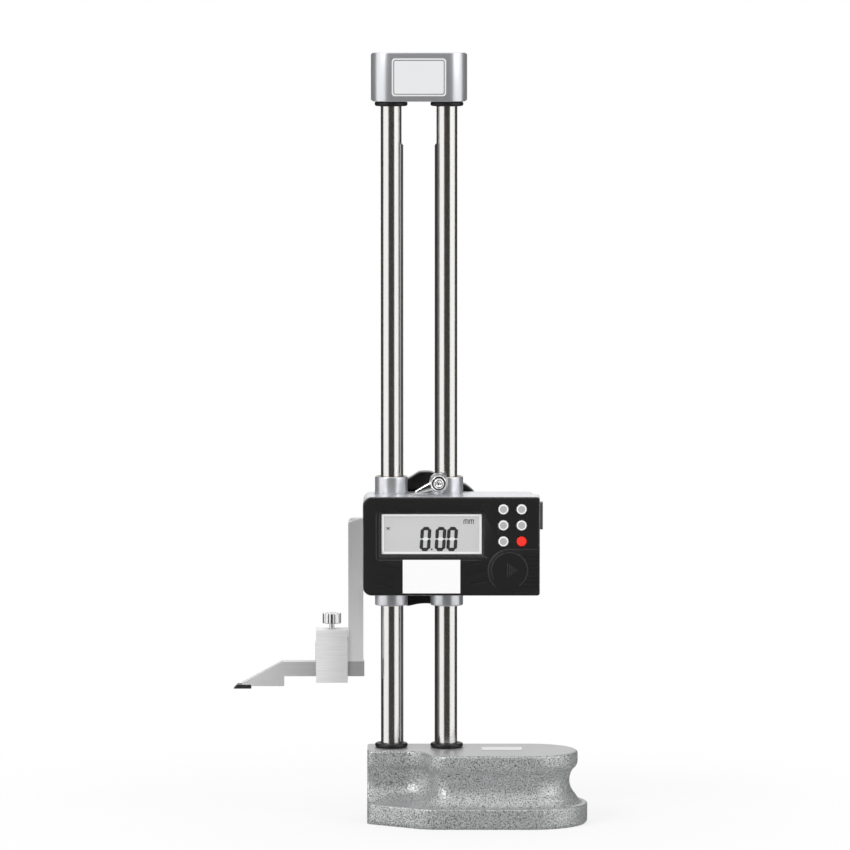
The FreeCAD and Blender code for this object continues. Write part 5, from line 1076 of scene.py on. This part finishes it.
def digit_bars(left):
    """The seven bars of a digit: top, upper right, lower right, foot, lower left, upper left, middle."""
    x0, x1 = left, left + DIGIT_WIDTH
    z0, z1, z2 = DIGIT_FOOT, DIGIT_FOOT + DIGIT_HEIGHT / 2, DIGIT_FOOT + DIGIT_HEIGHT
    ends = [((x0, z2), (x1, z2)), ((x1, z2), (x1, z1)), ((x1, z1), (x1, z0)), ((x0, z0), (x1, z0)),
            ((x0, z0), (x0, z1)), ((x0, z1), (x0, z2)), ((x0, z1), (x1, z1))]
    return [bar_corners(*pair) for pair in ends]


def stroke(x0, z0, x1, z1, wide=0.48):
    """Four corners of a short straight stroke."""
    start, end = np.array([x0, z0]), np.array([x1, z1])
    across = np.array([z0 - z1, x1 - x0])
    across *= wide / 2 / np.linalg.norm(across)
    return [start + across, start - across, end - across, end + across]


def ink(name, outlines, material, rise):
    """Thin plates on the panel, leaning with their height."""
    leaning = [[(x + (z - DIGIT_FOOT) * LEAN, z) for x, z in outline] for outline in outlines]
    add(name, *thin_plates(leaning, panel_face - rise, panel_face - PLATE_BACK), "screen_panel", material)


bars = [digit_bars(left) for left in DIGIT_LEFTS]
dot_right, dot_top = DOT_LEFT + DOT_SIDE, DOT_FOOT + DOT_SIDE
dot = [(DOT_LEFT, DOT_FOOT), (dot_right, DOT_FOOT), (dot_right, dot_top), (DOT_LEFT, dot_top)]
ink("screen_digits", [bar for digit in bars for bar in digit[:6]] + [dot], screen_ink, 0.06)
ink("screen_ghosts", [digit[6] for digit in bars], screen_ghost, 0.03)
unit_marks = []
for left in UNIT_LEFTS:
    places = [left + step * UNIT_WIDTH / 2 for step in range(3)]
    unit_marks += [stroke(place, UNIT_FOOT, place, UNIT_TOP) for place in places]
    unit_marks.append(stroke(left, UNIT_TOP, left + UNIT_WIDTH, UNIT_TOP))
unit_marks += [stroke(CROSS_LEFT, CROSS_FOOT, CROSS_RIGHT, CROSS_TOP, 0.45),
               stroke(CROSS_LEFT, CROSS_TOP, CROSS_RIGHT, CROSS_FOOT, 0.45)]
ink("screen_unit", unit_marks, screen_faint, 0.045)
print(len(bars), "digits and", len(unit_marks), "small strokes")

# %% [markdown]
# The battery cover slides off to the right, and an arrow of upright ribs says so. The ribs get shorter
# towards the point of the arrow. Each is a small rounded bar on the cover's disc.

# %% Arrow on the battery cover
bead_plastic = plain("bead_plastic", 0.06, 0.4)
arrow_plastic = plain("arrow_plastic", 0.032, 0.4)
cover_face = place_of("battery_cover")[0][1]
ARROW_LEFT, ARROW_TIP, ARROW_MIDDLE, ARROW_HALF, ARROW_RIBS = 54.5, 60.6, 158.6, 5.0, 6
RIB_WIDTH, RIB_RISE, SUNK = 0.5, 0.22, 0.02


def arrow_rib(x, half):
    """Half a round bar: a half circle across, carried from below to above and pulled in at both ends."""
    turn = np.linspace(0, np.pi, 7)
    level = np.linspace(-1, 1, 9)[:, None]
    fade = np.sqrt(np.clip(1 - level ** 8, 0, 1))
    across = x + np.cos(turn) * RIB_WIDTH / 2 * fade
    out = cover_face - np.sin(turn) * RIB_RISE * fade + SUNK
    return join(across, out, ARROW_MIDDLE + level * half)


ribs = [arrow_rib(ARROW_LEFT + (ARROW_TIP - ARROW_LEFT) * share, ARROW_HALF * (1 - share) + 0.25)
        for share in np.linspace(0, 0.92, ARROW_RIBS)]
add("cover_arrow", *gather(ribs), "battery_cover", arrow_plastic, sharp=60)
print(len(ribs), "ribs in the arrow")

# %% [markdown]
# Fine raised lines part the fields of the front: one round the screen's recess, one round the disc of the
# battery cover, one above it, and a small ring. They catch the light because they stand out, so each is a
# real bead, half round across, carried along its path and sunk a little into the face.

# %% Beads on the front
front_face = place_of("front_housing")[0][1]
DISC_CENTRE, DISC_RADIUS, OUTER_RADIUS, LINE_END = (55.7, ARROW_MIDDLE), 11.0, 13.1, 73.4
RECESS_LEFT, RECESS_BELOW, RECESS_ABOVE, RECESS_ROUND = 1.7, 1.9, 0.4, 2


def bead(path, wide, rise, face):
    """Half round bead along a path: the section's width lies across the path, its rise faces the reader."""
    run = np.gradient(path, axis=0)
    run /= np.linalg.norm(run, axis=1)[:, None]
    turn = np.linspace(0, np.pi, 7)
    fade = np.ones((len(path), 1))
    fade[[0, -1]] = 0.05
    x = path[:, :1] - run[:, 1:] * np.cos(turn) * wide / 2 * fade
    z = path[:, 1:] + run[:, :1] * np.cos(turn) * wide / 2 * fade
    return join(x, face + SUNK - rise * np.sin(turn) * fade, z)


def arc_path(centre, radius, start, stop, steps):
    """Points on a circle between two bearings, counted from the right and upwards."""
    turn = np.radians(np.linspace(start, stop, steps))
    return join(centre[0] + np.cos(turn) * radius, centre[1] + np.sin(turn) * radius)


(left, _, foot), (right, _, top) = place_of("screen_window")
left, foot = left - RECESS_LEFT, foot - RECESS_BELOW
corner = arc_path((left + RECESS_ROUND, foot + RECESS_ROUND), RECESS_ROUND, 180, 270, 9)
recess = np.concatenate([np.linspace((left, top + RECESS_ABOVE), corner[0], 12), corner[1:-1],
                         np.linspace(corner[-1], (right, foot), 12)])
mark = arc_path((41.2, 197.7), 2.0, 0, 360, 40)
line_level = ARROW_MIDDLE + OUTER_RADIUS
above = np.linspace((DISC_CENTRE[0], line_level), (LINE_END, line_level), 20)
cover_lines = [bead(arc_path(DISC_CENTRE, DISC_RADIUS, -58, 210, 90), 0.26, 0.16, cover_face),
               bead(arc_path(DISC_CENTRE, OUTER_RADIUS, 88, 232, 60), 0.22, 0.07, front_face),
               bead(above, 0.24, 0.1, front_face)]
for name, group, carrier, material in (
        ("recess_line", [bead(recess, 0.34, 0.16, front_face)], "front_housing", bead_plastic),
        ("round_mark", [bead(mark, 0.2, 0.05, front_face)], "front_housing", finishes["black_plastic"]),
        ("cover_lines", cover_lines, "battery_cover", bead_plastic)):
    add(name, *gather(group), carrier, material, sharp=70)
print("beads on the front and on the battery cover")

# %% [markdown]
# The plate on the bracket is a white card behind a printed frame. The frame line and the pale field are two
# thin sheets laid on the plate, each a rounded rectangle, and the field stays bare.

# %% Field of the bracket plate
plate_low, plate_high = place_of("bracket_plate")
plate_line = plain("plate_line", (0.16, 0.16, 0.17), 0.4, 0.002)
plate_field = plain("plate_field", (0.74, 0.745, 0.76), 0.38, 0.002)
for name, inset, radius, rise, material in (("plate_frame", 1.0, 1.4, 0.02, plate_line),
                                            ("plate_field", 1.5, 1.0, 0.04, plate_field)):
    loop = round_block(plate_low[[0, 2]], plate_high[[0, 2]], radius + inset, inset, 8)
    sheet = thin_plates([loop], plate_low[1] - rise, plate_low[1] - PLATE_BACK)
    add(name, *sheet, "bracket_plate", material)
print("frame line and field on the bracket plate")
